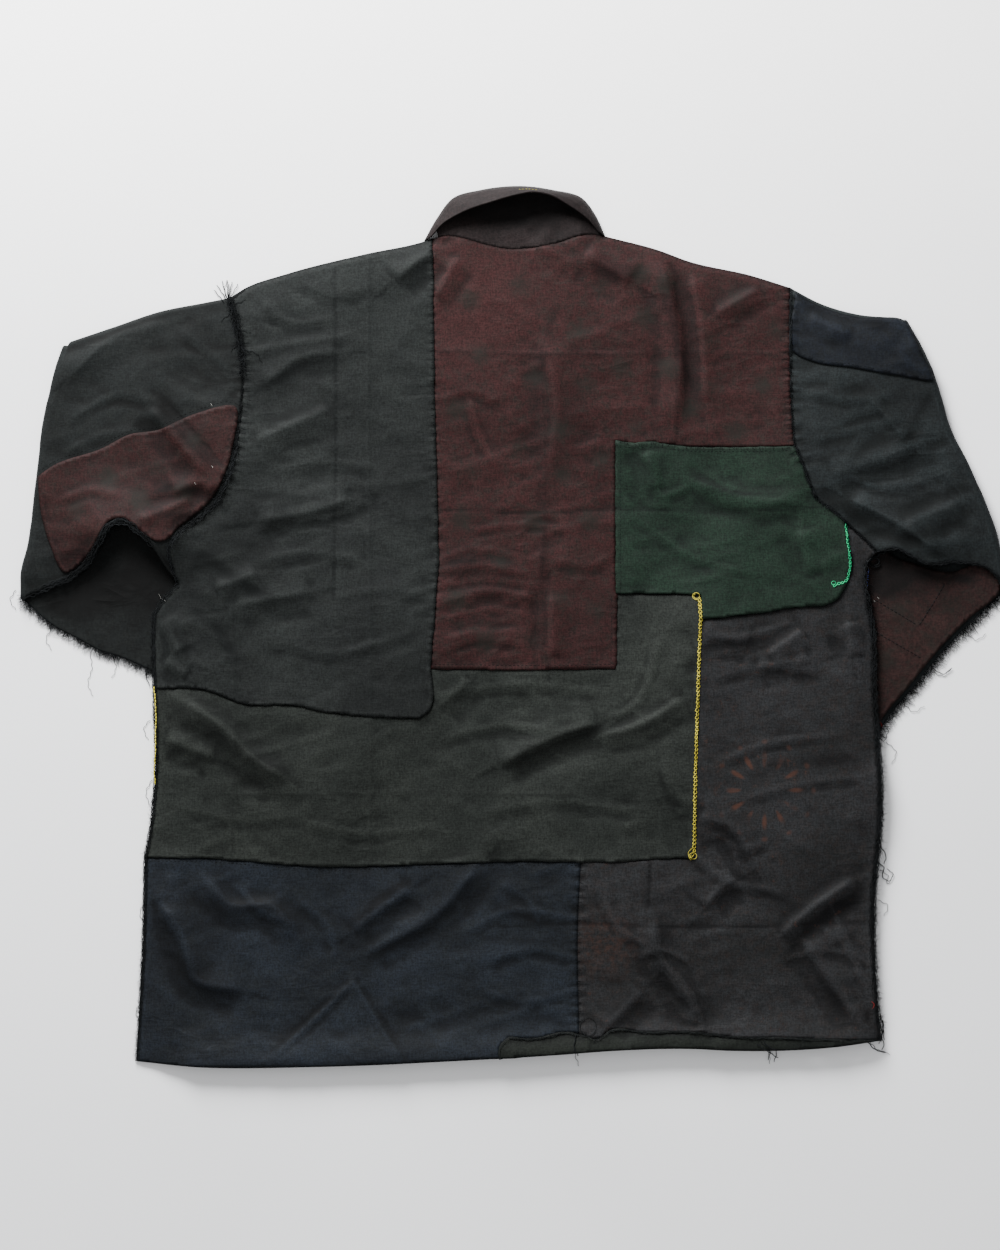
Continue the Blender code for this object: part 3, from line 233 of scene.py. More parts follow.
def curved(pixels, step=0.0028):
    # a smooth line through the points, and where along it each of them is
    knots = plan(pixels)
    chords = np.linalg.norm(np.diff(knots, axis=0), axis=1)
    ways = np.diff(knots, axis=0) / chords[:, None]
    turns = [ways[0]]
    for i in range(1, len(knots) - 1):
        turns.append((ways[i - 1] * chords[i] + ways[i] * chords[i - 1]) / (chords[i] + chords[i - 1]))
    turns.append(ways[-1])
    points, knotAt = [], [0]
    for i, chord in enumerate(chords):
        count = max(1, math.ceil(chord / step))
        t = (np.arange(count) / count)[:, None]
        points.append((2 * t**3 - 3 * t**2 + 1) * knots[i] + (t**3 - 2 * t**2 + t) * chord * turns[i]
                      + (3 * t**2 - 2 * t**3) * knots[i + 1] + (t**3 - t**2) * chord * turns[i + 1])
        knotAt.append(knotAt[-1] + count)
    return np.vstack(points + [knots[-1:]]), knotAt


def run(pixels, first=0, last=None):
    # part of a named line, from one of its points to another
    points, knotAt = curved(pixels)
    return points[knotAt[first]:(knotAt[last] if last is not None else knotAt[-1]) + 1]


def back(pixels, first=0, last=None):
    # the same, from its end to its start
    return run(pixels, first, last)[::-1]


def around(*lines):
    # a closed outline from lines that follow each other
    outline = np.vstack([line[:-1] if np.allclose(line[-1], after[0], atol=2e-4) else line
                         for line, after in zip(lines, lines[1:] + lines[:1])])
    return outline if area(outline) > 0.0 else outline[::-1]


def mirrored(pixels):
    # the same shape on the other side of the centre line
    return [(2 * centrePixel[0] - x, y) for x, y in pixels]


def area(outline):
    x, y = outline[:, 0], outline[:, 1]
    return 0.5 * float(np.sum(x * np.roll(y, -1) - np.roll(x, -1) * y))


def unit(vectors):
    return vectors / np.maximum(np.linalg.norm(vectors, axis=1), 1e-9)[:, None]


def even(line, count):
    # points spaced evenly along a line
    steps = np.linalg.norm(np.diff(line, axis=0), axis=1)
    along = np.concatenate([[0.0], np.cumsum(steps)])
    at = np.linspace(0.0, along[-1], count)
    return np.stack([np.interp(at, along, line[:, k]) for k in range(line.shape[1])], axis=1)


def lengthOf(line):
    return float(np.linalg.norm(np.diff(line, axis=0), axis=1).sum())


def nearLine(points, line, reach):
    # distance to a line, the side of it, and how far along it, for points within reach
    away = np.full(len(points), 9.0)
    side = np.ones(len(points))
    along = np.zeros(len(points))
    close = np.all((points > line.min(axis=0) - reach) & (points < line.max(axis=0) + reach), axis=1)
    if not close.any():
        return away, side, along
    near = points[close]
    best, bestSide, bestAlong = np.full(len(near), 9.0), np.ones(len(near)), np.zeros(len(near))
    done = 0.0
    for start, end in zip(line[:-1], line[1:]):
        way = end - start
        length = math.sqrt(way @ way)
        if length < 1e-9:
            continue
        off = near - start
        t = np.clip(off @ way / length**2, 0.0, 1.0)
        gap = np.linalg.norm(off - t[:, None] * way, axis=1)
        closer = gap < best
        best = np.where(closer, gap, best)
        bestSide = np.where(closer, np.sign(way[0] * off[:, 1] - way[1] * off[:, 0] + 1e-12), bestSide)
        bestAlong = np.where(closer, done + t * length, bestAlong)
        done += length
    away[close], side[close], along[close] = best, bestSide, bestAlong
    return away, side, along


def toEdge(points, outline, reach=0.03):
    # distance to a closed outline, for points within reach
    return nearLine(points, np.vstack([outline, outline[:1]]), reach)[0]


def inside(points, outline):
    result = np.zeros(len(points), bool)
    for start, end in zip(outline, np.roll(outline, -1, axis=0)):
        if end[1] == start[1]:
            continue
        crosses = (start[1] > points[:, 1]) != (end[1] > points[:, 1])
        at = start[0] + (points[:, 1] - start[1]) * (end[0] - start[0]) / (end[1] - start[1])
        result ^= crosses & (points[:, 0] < at)
    return result


def noise(points, size, seed, stretch=1.0, angle=0.0):
    # smooth noise from -1 to 1 with bumps about as wide as size, longer along the angle
    cells = 64
    lattice = np.random.default_rng(seed).uniform(-1.0, 1.0, (cells, cells))
    turn = np.array([[math.cos(angle), -math.sin(angle)], [math.sin(angle), math.cos(angle)]])
    at = points @ turn / (size * stretch, size) + (17.3 + seed, 9.1 + seed)
    cell = np.floor(at).astype(int)
    part = at - cell
    part = part**3 * (part * (part * 6.0 - 15.0) + 10.0)
    x, y, u, v = cell[:, 0], cell[:, 1], part[:, 0], part[:, 1]
    x, y, nextX, nextY = x % cells, y % cells, (x + 1) % cells, (y + 1) % cells
    low = lattice[x, y] * (1 - u) + lattice[nextX, y] * u
    high = lattice[x, nextY] * (1 - u) + lattice[nextX, nextY] * u
    return low * (1 - v) + high * v


def sharpRidges(points, size, seed, stretch=1.0, angle=0.0):
    return 1.0 - np.abs(noise(points, size, seed, stretch, angle)) * 2.0


supports = [
    # what lies beneath the fronts and the back: outline and height
    (around(run(leftElbow[::-1]), run(leftForearmTop), run(leftForearmFoot[::-1])),
     forearmTop + layers["layerRest"]),
    (around(run(rightElbow[::-1]), run(rightForearmTop), run(rightForearmFoot[::-1])),
     patchedForearmTop + layers["layerRest"]),
    (around(run(collarLeaf + collarLeaf[:1])), layers["wall"] + layers["seamGap"]),
    (around(run(mirrored(collarLeaf + collarLeaf[:1]))), layers["wall"] + layers["seamGap"]),
]
closedSeams = [run(line) for line in (
    leftShoulder, leftSleeveTop, leftUnderarm, leftSideHigh, leftSideMid, leftSideLow, rightShoulder,
    rightSleeveTop, rightUnderarmEdge, rightUnderarm, rightSide)]
outerSeams = [run(line) for line in (
    leftShoulder, leftSideHigh, leftSideMid, leftSideLow, rightShoulder, rightSide)]
mainCreases, lifts, smallLines, pressed = (
    [(height / 1000, width / 1000, run(line)) for height, width, line in table]
    for table in (folds, arches, smallCreases, pressLines))
gathered = [(height, reach, wave, run(line)) for height, reach, wave, line in gathers]


def underLayer(points):
    # the top of what lies beneath the fronts
    height = np.zeros(len(points))
    reach = layers["ledge"] + layers["drape"]
    for outline, top in supports:
        away = toEdge(points, outline, reach)
        away = np.where(inside(points, outline), 0.0, away)
        height = np.maximum(height, top * (1.0 - smooth((away - layers["ledge"]) / layers["drape"])))
    for rise, width, line in lifts:
        away = nearLine(points, line, 3.0 * width)[0] / width
        height += np.where(away < 3.0, rise * np.exp(-away * away), 0.0)
    return height


def crease(points, height, width, line, power, lean):
    # a ridge with one steep side and one long side, dying out towards both ends
    away, side, along = nearLine(points, line, 4.0 * width)
    share = along / max(lengthOf(line), 1e-6)
    ends = smooth(np.minimum(share, 1.0 - share) / 0.22 + 0.35)
    wide = width * np.where(side > 0.0, 1.0 + lean, 1.0 - lean)
    ridge = np.exp(-(away / wide) ** power)
    trough = 0.30 * np.exp(-((away - 2.0 * width) / (0.9 * width)) ** 2) * (side < 0.0)
    return height * ends * (ridge - trough) * (away < 4.0 * width)


# Crumpling between the folds: how wide its bumps are and how high
crumple = {"broad": (0.085, 0.0010), "middle": (0.034, 0.0008), "fine": (0.0165, 0.00042),
           "tiny": (0.0080, 0.00018), "stretch": 1.9}
# How the listed folds and creases are carried out: share of the height, share of the width, bend, lean
foldShape = {"height": 0.85, "width": 0.80, "power": 1.25, "lean": 0.45}
creaseShape = {"height": 0.55, "width": 0.75, "power": 1.15, "lean": 0.4}
seamRoll = {"reach": 0.0045, "drop": 0.0014}  # the back rolls down at its outer seams


def topLayer(points):
    # the showing side of the back and of the upper sleeves, before any lap
    seam = np.full(len(points), 9.0)
    for line in closedSeams:
        seam = np.minimum(seam, nearLine(points, line, 0.05)[0])
    relief = layers["bodyAir"] * smooth(seam / layers["airReach"])
    margin = smooth(seam / layers["foldMargin"])
    for lines, shape, every in ((mainCreases, foldShape, 3), (smallLines, creaseShape, 2)):
        for number, (height, width, line) in enumerate(lines):
            lean = shape["lean"] if number % every else -shape["lean"]
            relief += margin * crease(points, height * shape["height"], width * shape["width"], line,
                                      shape["power"], lean)
    broad, middle, long = crumple["broad"], crumple["middle"], crumple["stretch"]
    calm = 0.35 + 0.65 * smooth(seam / 0.02)
    relief += calm * broad[1] * noise(points, broad[0], 3, 1.4)
    relief += calm * middle[1] * (sharpRidges(points, middle[0], 5, long, 0.15) * 0.5
                                  + 0.5 * sharpRidges(points, middle[0] * 0.9, 8, long, -0.5))
    where = smooth(0.5 + 0.9 * noise(points, 0.11, 21))
    fine, tiny = crumple["fine"], crumple["tiny"]
    relief += calm * where * fine[1] * sharpRidges(points, fine[0], 11, long, 0.3)
    relief += tiny[1] * noise(points, tiny[0], 13, 1.5)
    corners = around(plan(pleat["corners"]))
    legs = nearLine(points, plan([pleat["corners"][k] for k in (1, 0, 2)]), 0.02)[0]
    relief += pleat["rise"] * smooth(legs / pleat["edge"]) * inside(points, corners)
    relief = np.maximum(relief, -0.0004)
    for height, width, line in pressed:
        away = nearLine(points, line, 5.0 * width)[0]
        relief += height * np.exp(-away / width)
    for height, reach, wave, line in gathered:
        away, _, along = nearLine(points, line, reach * 1.5)
        jitter = noise(np.stack([along, 0.0 * along], axis=1), wave * 0.8, 31)
        pucker = np.sin(2.0 * math.pi * along / wave + 2.2 * jitter)
        relief += height * pucker * np.exp(-(away / (0.55 * reach)) ** 2)
    edge = np.full(len(points), 9.0)
    for line in outerSeams:
        edge = np.minimum(edge, nearLine(points, line, 0.006)[0])
    rolled = seamRoll["drop"] * (1.0 - smooth(edge / seamRoll["reach"]))
    return underLayer(points) + 2.0 * layers["wall"] + layers["edgeAir"] + relief - rolled


def pressShade(points, width=0.0011):
    # how near a point is to a press crease, whose shade is painted as a dark line
    shade = np.zeros(len(points))
    for _, _, line in pressed:
        shade = np.maximum(shade, np.exp(-(nearLine(points, line, 0.006)[0] / width) ** 2))
    return shade


# Where the dye is pale with wear (positive amounts), and where shade is painted dark into hollows and fold
# troughs (negative amounts): amount, radius and centre in pixels
paleWearAndPaintedShade = [
    (-1.0, 26, 136, 566), (-0.9, 18, 108, 577), (-0.9, 18, 160, 580), (-0.6, 18, 84, 594),
    (-0.7, 20, 142, 606), (-0.6, 16, 112, 602), (-1.0, 18, 893, 574), (-0.7, 15, 880, 592),
    (-0.5, 20, 920, 582), (-0.7, 22, 215, 745), (-0.6, 20, 255, 775), (-0.4, 22, 185, 715),
    (-0.6, 28, 215, 915), (-0.5, 26, 290, 925), (-0.5, 26, 190, 975), (-0.5, 22, 352, 928),
    (-0.4, 24, 165, 940), (-0.5, 20, 850, 900), (-0.4, 22, 800, 925), (-0.3, 20, 700, 890),
    (-0.4, 30, 660, 900), (-0.3, 24, 500, 880), (-0.5, 18, 190, 560), (-0.4, 20, 200, 600),
    (-0.4, 14, 170, 622), (-0.3, 26, 235, 640), (-0.5, 14, 170, 408), (-0.5, 12, 195, 436),
    (-0.3, 24, 262, 395), (-0.3, 20, 255, 470), (-0.4, 24, 880, 430), (-0.5, 20, 905, 545),
    (-0.3, 20, 850, 345), (-0.3, 30, 660, 320), (-0.3, 26, 700, 470), (-0.3, 40, 560, 430),
    (-0.3, 30, 460, 560), (-0.3, 26, 590, 640), (-0.3, 22, 640, 960), (0.6, 50, 490, 300),
    (0.4, 34, 455, 330), (0.4, 30, 120, 375), (0.3, 30, 300, 300), (0.3, 26, 330, 430),
    (0.25, 30, 290, 520), (0.25, 40, 560, 760), (0.35, 26, 430, 960), (0.35, 20, 360, 1012),
    (0.25, 26, 740, 690), (0.3, 24, 745, 400), (0.3, 26, 520, 620), (0.3, 24, 400, 300),
    (0.3, 24, 760, 560), (0.3, 20, 880, 480),
]
# Painted shade: dark strokes in the troughs beside folds and under the raised underarm edges: amount, half
# width in millimetres, line in pixels
paintedTroughShadeDepth = 1.35  # how much darker all of them are
paintedTroughShade = [
    (1.5, 10, [(32, 602), (62, 606), (92, 602), (118, 586), (132, 566)]),
    (1.2, 11, [(136, 560), (150, 578), (166, 592)]), (1.3, 9, [(874, 560), (888, 568), (904, 570)]),
    (0.7, 6, [(904, 570), (944, 576), (984, 580)]), (0.8, 4, [(146, 394), (177, 431), (218, 472)]),
    (0.9, 4, [(152, 494), (182, 486), (206, 502)]), (0.6, 4.5, [(150, 512), (180, 516), (205, 512)]),
    (0.5, 4, [(60, 560), (84, 548), (98, 530)]), (0.5, 4, [(254, 388), (290, 372), (320, 366)]),
    (0.6, 4, [(256, 424), (300, 414), (364, 402)]), (0.5, 4.5, [(240, 500), (291, 496), (340, 506)]),
    (0.6, 4.5, [(208, 532), (262, 520), (306, 512)]),
    (0.8, 5.5, [(196, 548), (224, 570), (256, 592), (284, 604)]),
    (0.5, 5, [(182, 600), (214, 626), (240, 664)]), (0.6, 5, [(166, 618), (184, 644), (190, 672)]),
    (0.5, 6, [(186, 572), (230, 548), (280, 546)]),
    (0.9, 4.5, [(656, 254), (668, 300), (676, 340), (698, 404)]),
    (0.8, 7, [(590, 256), (616, 272), (644, 268)]), (0.8, 3, [(716, 314), (740, 300), (764, 284)]),
    (0.4, 5, [(560, 288), (544, 350), (534, 412)]), (0.4, 4, [(536, 470), (544, 530), (540, 600)]),
    (0.5, 3, [(438, 566), (480, 560), (520, 566)]), (0.4, 3, [(440, 596), (480, 590), (516, 596)]),
    (0.4, 3, [(440, 628), (480, 622), (520, 628)]), (0.7, 3.2, [(680, 468), (722, 490), (792, 494)]),
    (0.6, 2.8, [(648, 452), (654, 496)]), (0.9, 6, [(800, 486), (850, 512), (890, 536), (930, 538)]),
    (0.6, 5, [(890, 518), (930, 500), (976, 486)]), (0.6, 4.5, [(842, 464), (874, 444), (940, 434)]),
    (0.6, 3.5, [(934, 386), (920, 410), (904, 440)]), (0.5, 6, [(836, 312), (868, 324), (898, 330)]),
    (0.5, 5, [(806, 400), (850, 392), (890, 400)]),
    (0.8, 6.5, [(186, 700), (222, 736), (262, 764), (300, 776)]),
    (0.8, 3, [(498, 764), (550, 738), (614, 722)]), (0.5, 4, [(600, 740), (640, 730), (680, 706)]),
    (0.5, 3, [(658, 776), (668, 800), (680, 818)]),
    (0.8, 5, [(196, 880), (220, 902), (277, 908), (298, 934)]),
    (0.7, 5, [(166, 940), (194, 978), (250, 992)]), (0.9, 4.5, [(346, 932), (388, 894), (414, 878)]),
    (0.5, 4.5, [(360, 966), (407, 936), (464, 894)]), (0.4, 3, [(476, 938), (520, 940), (570, 941)]),
    (0.5, 4, [(484, 902), (530, 918), (570, 934)]), (0.6, 3, [(264, 1058), (312, 1014), (350, 982)]),
    (0.4, 2.4, [(358, 984), (384, 1022), (406, 1058)]), (0.6, 4, [(700, 628), (730, 640), (792, 638)]),
    (0.9, 6, [(780, 944), (820, 918), (866, 890)]), (0.5, 5, [(756, 768), (810, 762), (870, 758)]),
    (0.7, 5, [(650, 930), (662, 974), (706, 1022)]), (0.5, 4, [(726, 866), (770, 896), (800, 904)]),
    (0.6, 5, [(812, 962), (832, 996), (848, 1022)]), (0.5, 4, [(700, 812), (730, 832), (748, 862)]),
    (0.5, 4, [(600, 1020), (626, 1000), (640, 980)]),
]
# Flowers of the maroon print: their size, and their centres in pixels
flowerSize = 0.0104
flowerSpots = [
    (578, 332), (644, 318), (710, 342), (620, 368), (534, 378), (586, 386), (668, 368), (712, 388),
    (762, 386), (560, 430), (636, 426), (736, 432), (518, 448), (562, 474), (534, 522), (572, 570),
    (470, 300), (520, 286), (600, 288), (664, 284), (736, 300), (480, 356), (456, 410), (470, 470),
    (462, 520), (500, 560), (596, 610), (456, 600), (530, 640), (590, 520), (690, 410), (776, 330),
    (486, 640), (560, 600), (600, 460), (640, 274), (158, 467), (110, 478), (77, 511), (196, 440),
    (140, 500), (104, 540), (184, 492), (900, 612), (930, 640), (884, 660), (952, 606), (906, 690),
]


def paleWearAndPaintedShadeAt(points):
    # from -1 where shade is painted darkest to 1 where the dye is palest with wear
    result = np.zeros(len(points))
    for amount, radius, x, y in paleWearAndPaintedShade:
        away = np.linalg.norm(points - plan([(x, y)])[0], axis=1) / (radius * pixel)
        result += amount * np.exp(-away * away)
    for amount, width, line in paintedTroughShade:
        way, width = run(line), width / 1000
        away, _, along = nearLine(points, way, 3.0 * width)
        share = along / lengthOf(way)
        ends = smooth(np.minimum(share, 1.0 - share) / 0.3 + 0.15)
        result -= paintedTroughShadeDepth * amount * ends * np.exp(-(away / width) ** 2)
    return np.clip(result * (1.0 + 0.5 * noise(points, 0.02, 17)), -1.0, 1.0)


def flowerAt(points):
    # one at the middle of a printed flower, nought away from them
    result = np.zeros(len(points))
    for number, (x, y) in enumerate(flowerSpots):
        off = points - plan([(x, y)])[0]
        away = np.linalg.norm(off, axis=1)
        petals = 1.0 + 0.12 * np.cos(5.0 * np.arctan2(off[:, 1], off[:, 0]) + number)
        strength = 0.75 + 0.25 * math.sin(number * 2.4)
        result = np.maximum(result, strength * np.exp(-(away / (flowerSize * petals)) ** 2.0))
    return result


cloths = []  # every piece of cloth made so far, for what lies on it


def shapeTree(points, faces):
    return BVHTree.FromPolygons([tuple(p) for p in points], [tuple(f) for f in faces])


def touched(tree, x, y):
    # where a plumb line first meets the cloth
    return tree.ray_cast(Vector((x, y, 1.0)), Vector((0.0, 0.0, -1.0)))[0]


def crestOf(points, faces):
    # how far each point stands above its surroundings, from 0 in a trough to 1 on a crest
    pairs = np.array(faces)
    pairs = np.vstack([pairs[:, [0, 1]], pairs[:, [1, 2]], pairs[:, [2, 0]]])
    height = points[:, 2].copy()
    result = np.zeros(len(points))
    count = np.maximum(np.bincount(pairs.ravel(), minlength=len(points)), 1)
    for turn in range(9):
        total = np.bincount(pairs[:, 0], height[pairs[:, 1]], len(points))
        total += np.bincount(pairs[:, 1], height[pairs[:, 0]], len(points))
        height = total / count
        if turn in (2, 8):
            result += (points[:, 2] - height) / (0.00022 if turn == 2 else 0.0007)
    return 0.5 + 0.5 * np.clip(result * 0.5, -1.0, 1.0)


def marksOf(edge, crest=0.5, shaded=0.0):
    # what a material reads at each point: distance from the edge, crests for the painted highlight and shade,
    # and lines of painted shade
    return {"edge": np.minimum(edge, 0.03), "crest": crest + 0.0 * edge, "shaded": shaded + 0.0 * edge}


def nodeOf(name):
    # the solid that a piece stands for: backLeft is back_left
    return "".join("_" + letter.lower() if letter.isupper() else letter for letter in name)


def addMesh(name, points, faces, material, replaced=(), marks=None, wall=0.0):
    if marks is not None:
        # fade is paleness from wear above nought and painted shade below it
        marks = dict(marks, fade=paleWearAndPaintedShadeAt(points[:, :2]), flower=flowerAt(points[:, :2]))
    mesh = bpy.data.meshes.new(name)
    mesh.from_pydata([tuple(p) for p in points], [], [tuple(f) for f in faces])
    for mark, values in (marks or {}).items():
        attribute = mesh.attributes.new(mark, "FLOAT", "POINT")
        attribute.data.foreach_set("value", np.asarray(values, np.float32))
    mesh.shade_smooth()
    piece = bpy.data.objects.new(name, mesh)
    bpy.context.scene.collection.objects.link(piece)
    mesh.materials.append(material)
    if wall > 0.0:
        solid = piece.modifiers.new("wall", "SOLIDIFY")
        solid.thickness = wall
        solid.offset = -1.0
        solid.use_even_offset = False
        solid.use_rim = True
    if marks is not None:
        cloths.append((shapeTree(points, faces), points.min(axis=0), points.max(axis=0)))
    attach(piece, "root")
    if replaced:
        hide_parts(*replaced)
    return piece


def triangulated(outline, spacing):
    # an even mesh inside an outline of the plan
    low, high = outline.min(axis=0), outline.max(axis=0)
    rowStep = spacing * math.sqrt(3.0) / 2.0
    rows = np.arange(math.floor(low[1] / rowStep), math.ceil(high[1] / rowStep) + 1)
    columns = np.arange(math.floor(low[0] / spacing) - 1, math.ceil(high[0] / spacing) + 1)
    grid = np.array([((c + 0.5 * (r % 2)) * spacing, r * rowStep) for r in rows for c in columns])
    grid = grid[inside(grid, outline)]
    grid = grid[toEdge(grid, outline, 0.02) > 0.55 * spacing]
    points = np.vstack([outline, grid])
    found = delaunay_2d_cdt([Vector(p) for p in points], [], [list(range(len(outline)))], 1, 1e-7, False)
    flat = np.array([tuple(v) for v in found[0]])
    faces = np.array([list(f) for f in found[2]])
    centres = flat[faces].mean(axis=1)
    faces = faces[inside(centres, outline)]
    a, b, c = flat[faces[:, 0]], flat[faces[:, 1]], flat[faces[:, 2]]
    turn = (b[:, 0] - a[:, 0]) * (c[:, 1] - a[:, 1]) - (b[:, 1] - a[:, 1]) * (c[:, 0] - a[:, 0])
    faces[turn < 0.0] = faces[turn < 0.0][:, ::-1]
    used = np.unique(faces)
    place = np.full(len(flat), -1)
    place[used] = np.arange(len(used))
    return flat[used], place[faces]


def roughened(outline, rawLines, amount, seed):
    # raw edges wander outwards a little, over what lies beneath them
    if not rawLines:
        return outline
    raw = np.zeros(len(outline), bool)
    for line in rawLines:
        raw |= nearLine(outline, line, 0.01)[0] < 0.0006
    ahead = unit(np.roll(outline, -1, axis=0) - np.roll(outline, 1, axis=0))
    outwards = np.stack([ahead[:, 1], -ahead[:, 0]], axis=1)
    wander = amount * (0.6 + 0.7 * noise(outline, 0.013, seed) + 0.5 * noise(outline, 0.004, seed + 1))
    return outline + outwards * (raw * np.maximum(wander, 0.0))[:, None]


showingCloth = {"spacing": 0.0028, "wander": 0.0011, "wall": 0.0010, "curl": 0.0006, "curlReach": 0.0022,
                "tuck": 0.00030, "tuckReach": 0.0016}


def backPanel(name, settings):
    # one piece of the patched back; raw edges curl up and sewn ones are tucked down
    rawLines = [run(line) for line in settings["raw"]]
    outline = roughened(settings["outline"], rawLines, showingCloth["wander"], settings["seed"])
    flat, faces = triangulated(outline, showingCloth["spacing"])
    edge = toEdge(flat, outline)
    high = topLayer(flat) + settings["level"]
    rawGap = np.full(len(flat), 9.0)
    for line in rawLines:
        rawGap = np.minimum(rawGap, nearLine(flat, line, 0.02)[0])
    curl = showingCloth["curl"] * np.exp(-rawGap / showingCloth["curlReach"])
    curl = curl * (1.0 + noise(flat, 0.012, settings["seed"] + 7))
    tucked = showingCloth["tuck"] * np.exp(-(edge / showingCloth["tuckReach"]) ** 2) * (rawGap > 0.01)
    points = np.column_stack([flat, high + curl - tucked])
    marks = marksOf(edge, crestOf(points, faces), pressShade(flat))
    piece = addMesh(name, points, faces, clothOf[settings["cloth"]], [nodeOf(name)], marks,
                    showingCloth["wall"])
    return piece


def linear(r, g, b):
    # a colour as it is seen on a screen, 0 to 255, as the light that the shader needs
    return tuple((c / 255 / 12.92) if c <= 10 else ((c / 255 + 0.055) / 1.055) ** 2.4 for c in (r, g, b))


def newGroup(name, inputs, outputs):
    # an empty node group, what comes into it and what it puts out
    group = bpy.data.node_groups.new(name, "ShaderNodeTree")
    for label, kind, value in inputs:
        socket = group.interface.new_socket(label, in_out="INPUT", socket_type="NodeSocket" + kind)
        if value is not None:
            socket.default_value = value
    for label, kind in outputs:
        group.interface.new_socket(label, in_out="OUTPUT", socket_type="NodeSocket" + kind)
    return group, group.nodes.new("NodeGroupInput").outputs, group.nodes.new("NodeGroupOutput").inputs


def node(tree, kind, values=None, links=None, **settings):
    # one node with its settings, its plain input values and what feeds its inputs
    made = tree.nodes.new("ShaderNode" + kind)
    for key, value in settings.items():
        setattr(made, key, value)
    for key, value in (values or {}).items():
        made.inputs[key].default_value = value
    for key, source in (links or {}).items():
        tree.links.new(source, made.inputs[key])
    return made


def maths(tree, operation, first, second=None, third=None):
    made = tree.nodes.new("ShaderNodeMath")
    made.operation = operation
    for slot, value in enumerate((first, second, third)):
        if value is None:
            continue
        if isinstance(value, (int, float)):
            made.inputs[slot].default_value = value
        else:
            tree.links.new(value, made.inputs[slot])
    return made.outputs[0]


def times(tree, first, second):
    return maths(tree, "MULTIPLY", first, second)


def plus(tree, first, second):
    return maths(tree, "ADD", first, second)


def minus(tree, first, second):
    return maths(tree, "SUBTRACT", first, second)


def cloudy(tree, place, scale, detail, rough=0.5, warp=0.0):
    # soft noise; its mask from 0 to 1
    return node(tree, "TexNoise", {"Scale": scale, "Detail": detail, "Roughness": rough, "Distortion": warp},
                {"Vector": place}).outputs["Fac"]


def blended(tree, share, first, second, kind="MIX"):
    # two colours mixed; either may be a socket or a plain colour
    made = tree.nodes.new("ShaderNodeMix")
    made.data_type = "RGBA"
    made.blend_type = kind
    for slot, value in ((0, share), (6, first), (7, second)):
        if isinstance(value, (int, float)):
            made.inputs[slot].default_value = value
        elif isinstance(value, tuple):
            made.inputs[slot].default_value = (*value, 1.0)
        else:
            tree.links.new(value, made.inputs[slot])
    return made.outputs[2]


def ramp(tree, source, low, high):
    # nought below low, one above high, smooth between
    made = tree.nodes.new("ShaderNodeMapRange")
    made.interpolation_type = "SMOOTHSTEP"
    tree.links.new(source, made.inputs["Value"])
    made.inputs["From Min"].default_value = low
    made.inputs["From Max"].default_value = high
    return made.outputs["Result"]


def weaveGroup():
    # plain weave with uneven threads: a height, and a mask of lighter threads
    group, given, out = newGroup("plainWeave", [
        ("Place", "Vector", None), ("Threads", "Float", 1700.0), ("Slub", "Float", 0.5)],
        [("Height", "Float"), ("Slubs", "Float")])
    place = node(group, "SeparateXYZ", links={0: given["Place"]})
    turn = times(group, given["Threads"], math.pi)
    warp = maths(group, "SINE", times(group, place.outputs[0], turn))
    weft = maths(group, "SINE", times(group, place.outputs[1], turn))
    streaks = [node(group, "VectorMath", {1: grid}, {0: given["Place"]}, operation="MULTIPLY").outputs[0]
               for grid in ((90.0, 1500.0, 1.0), (1500.0, 90.0, 1.0))]
    along, across = (cloudy(group, streak, 1.0, 2.0, 0.6) for streak in streaks)
    slubs = times(group, plus(group, along, across), 0.5)
    lifted = times(group, minus(group, slubs, 0.5), given["Slub"])
    height = plus(group, times(group, times(group, warp, weft), 0.25), times(group, lifted, 3.0))
    group.links.new(height, out["Height"])
    group.links.new(slubs, out["Slubs"])
    return group


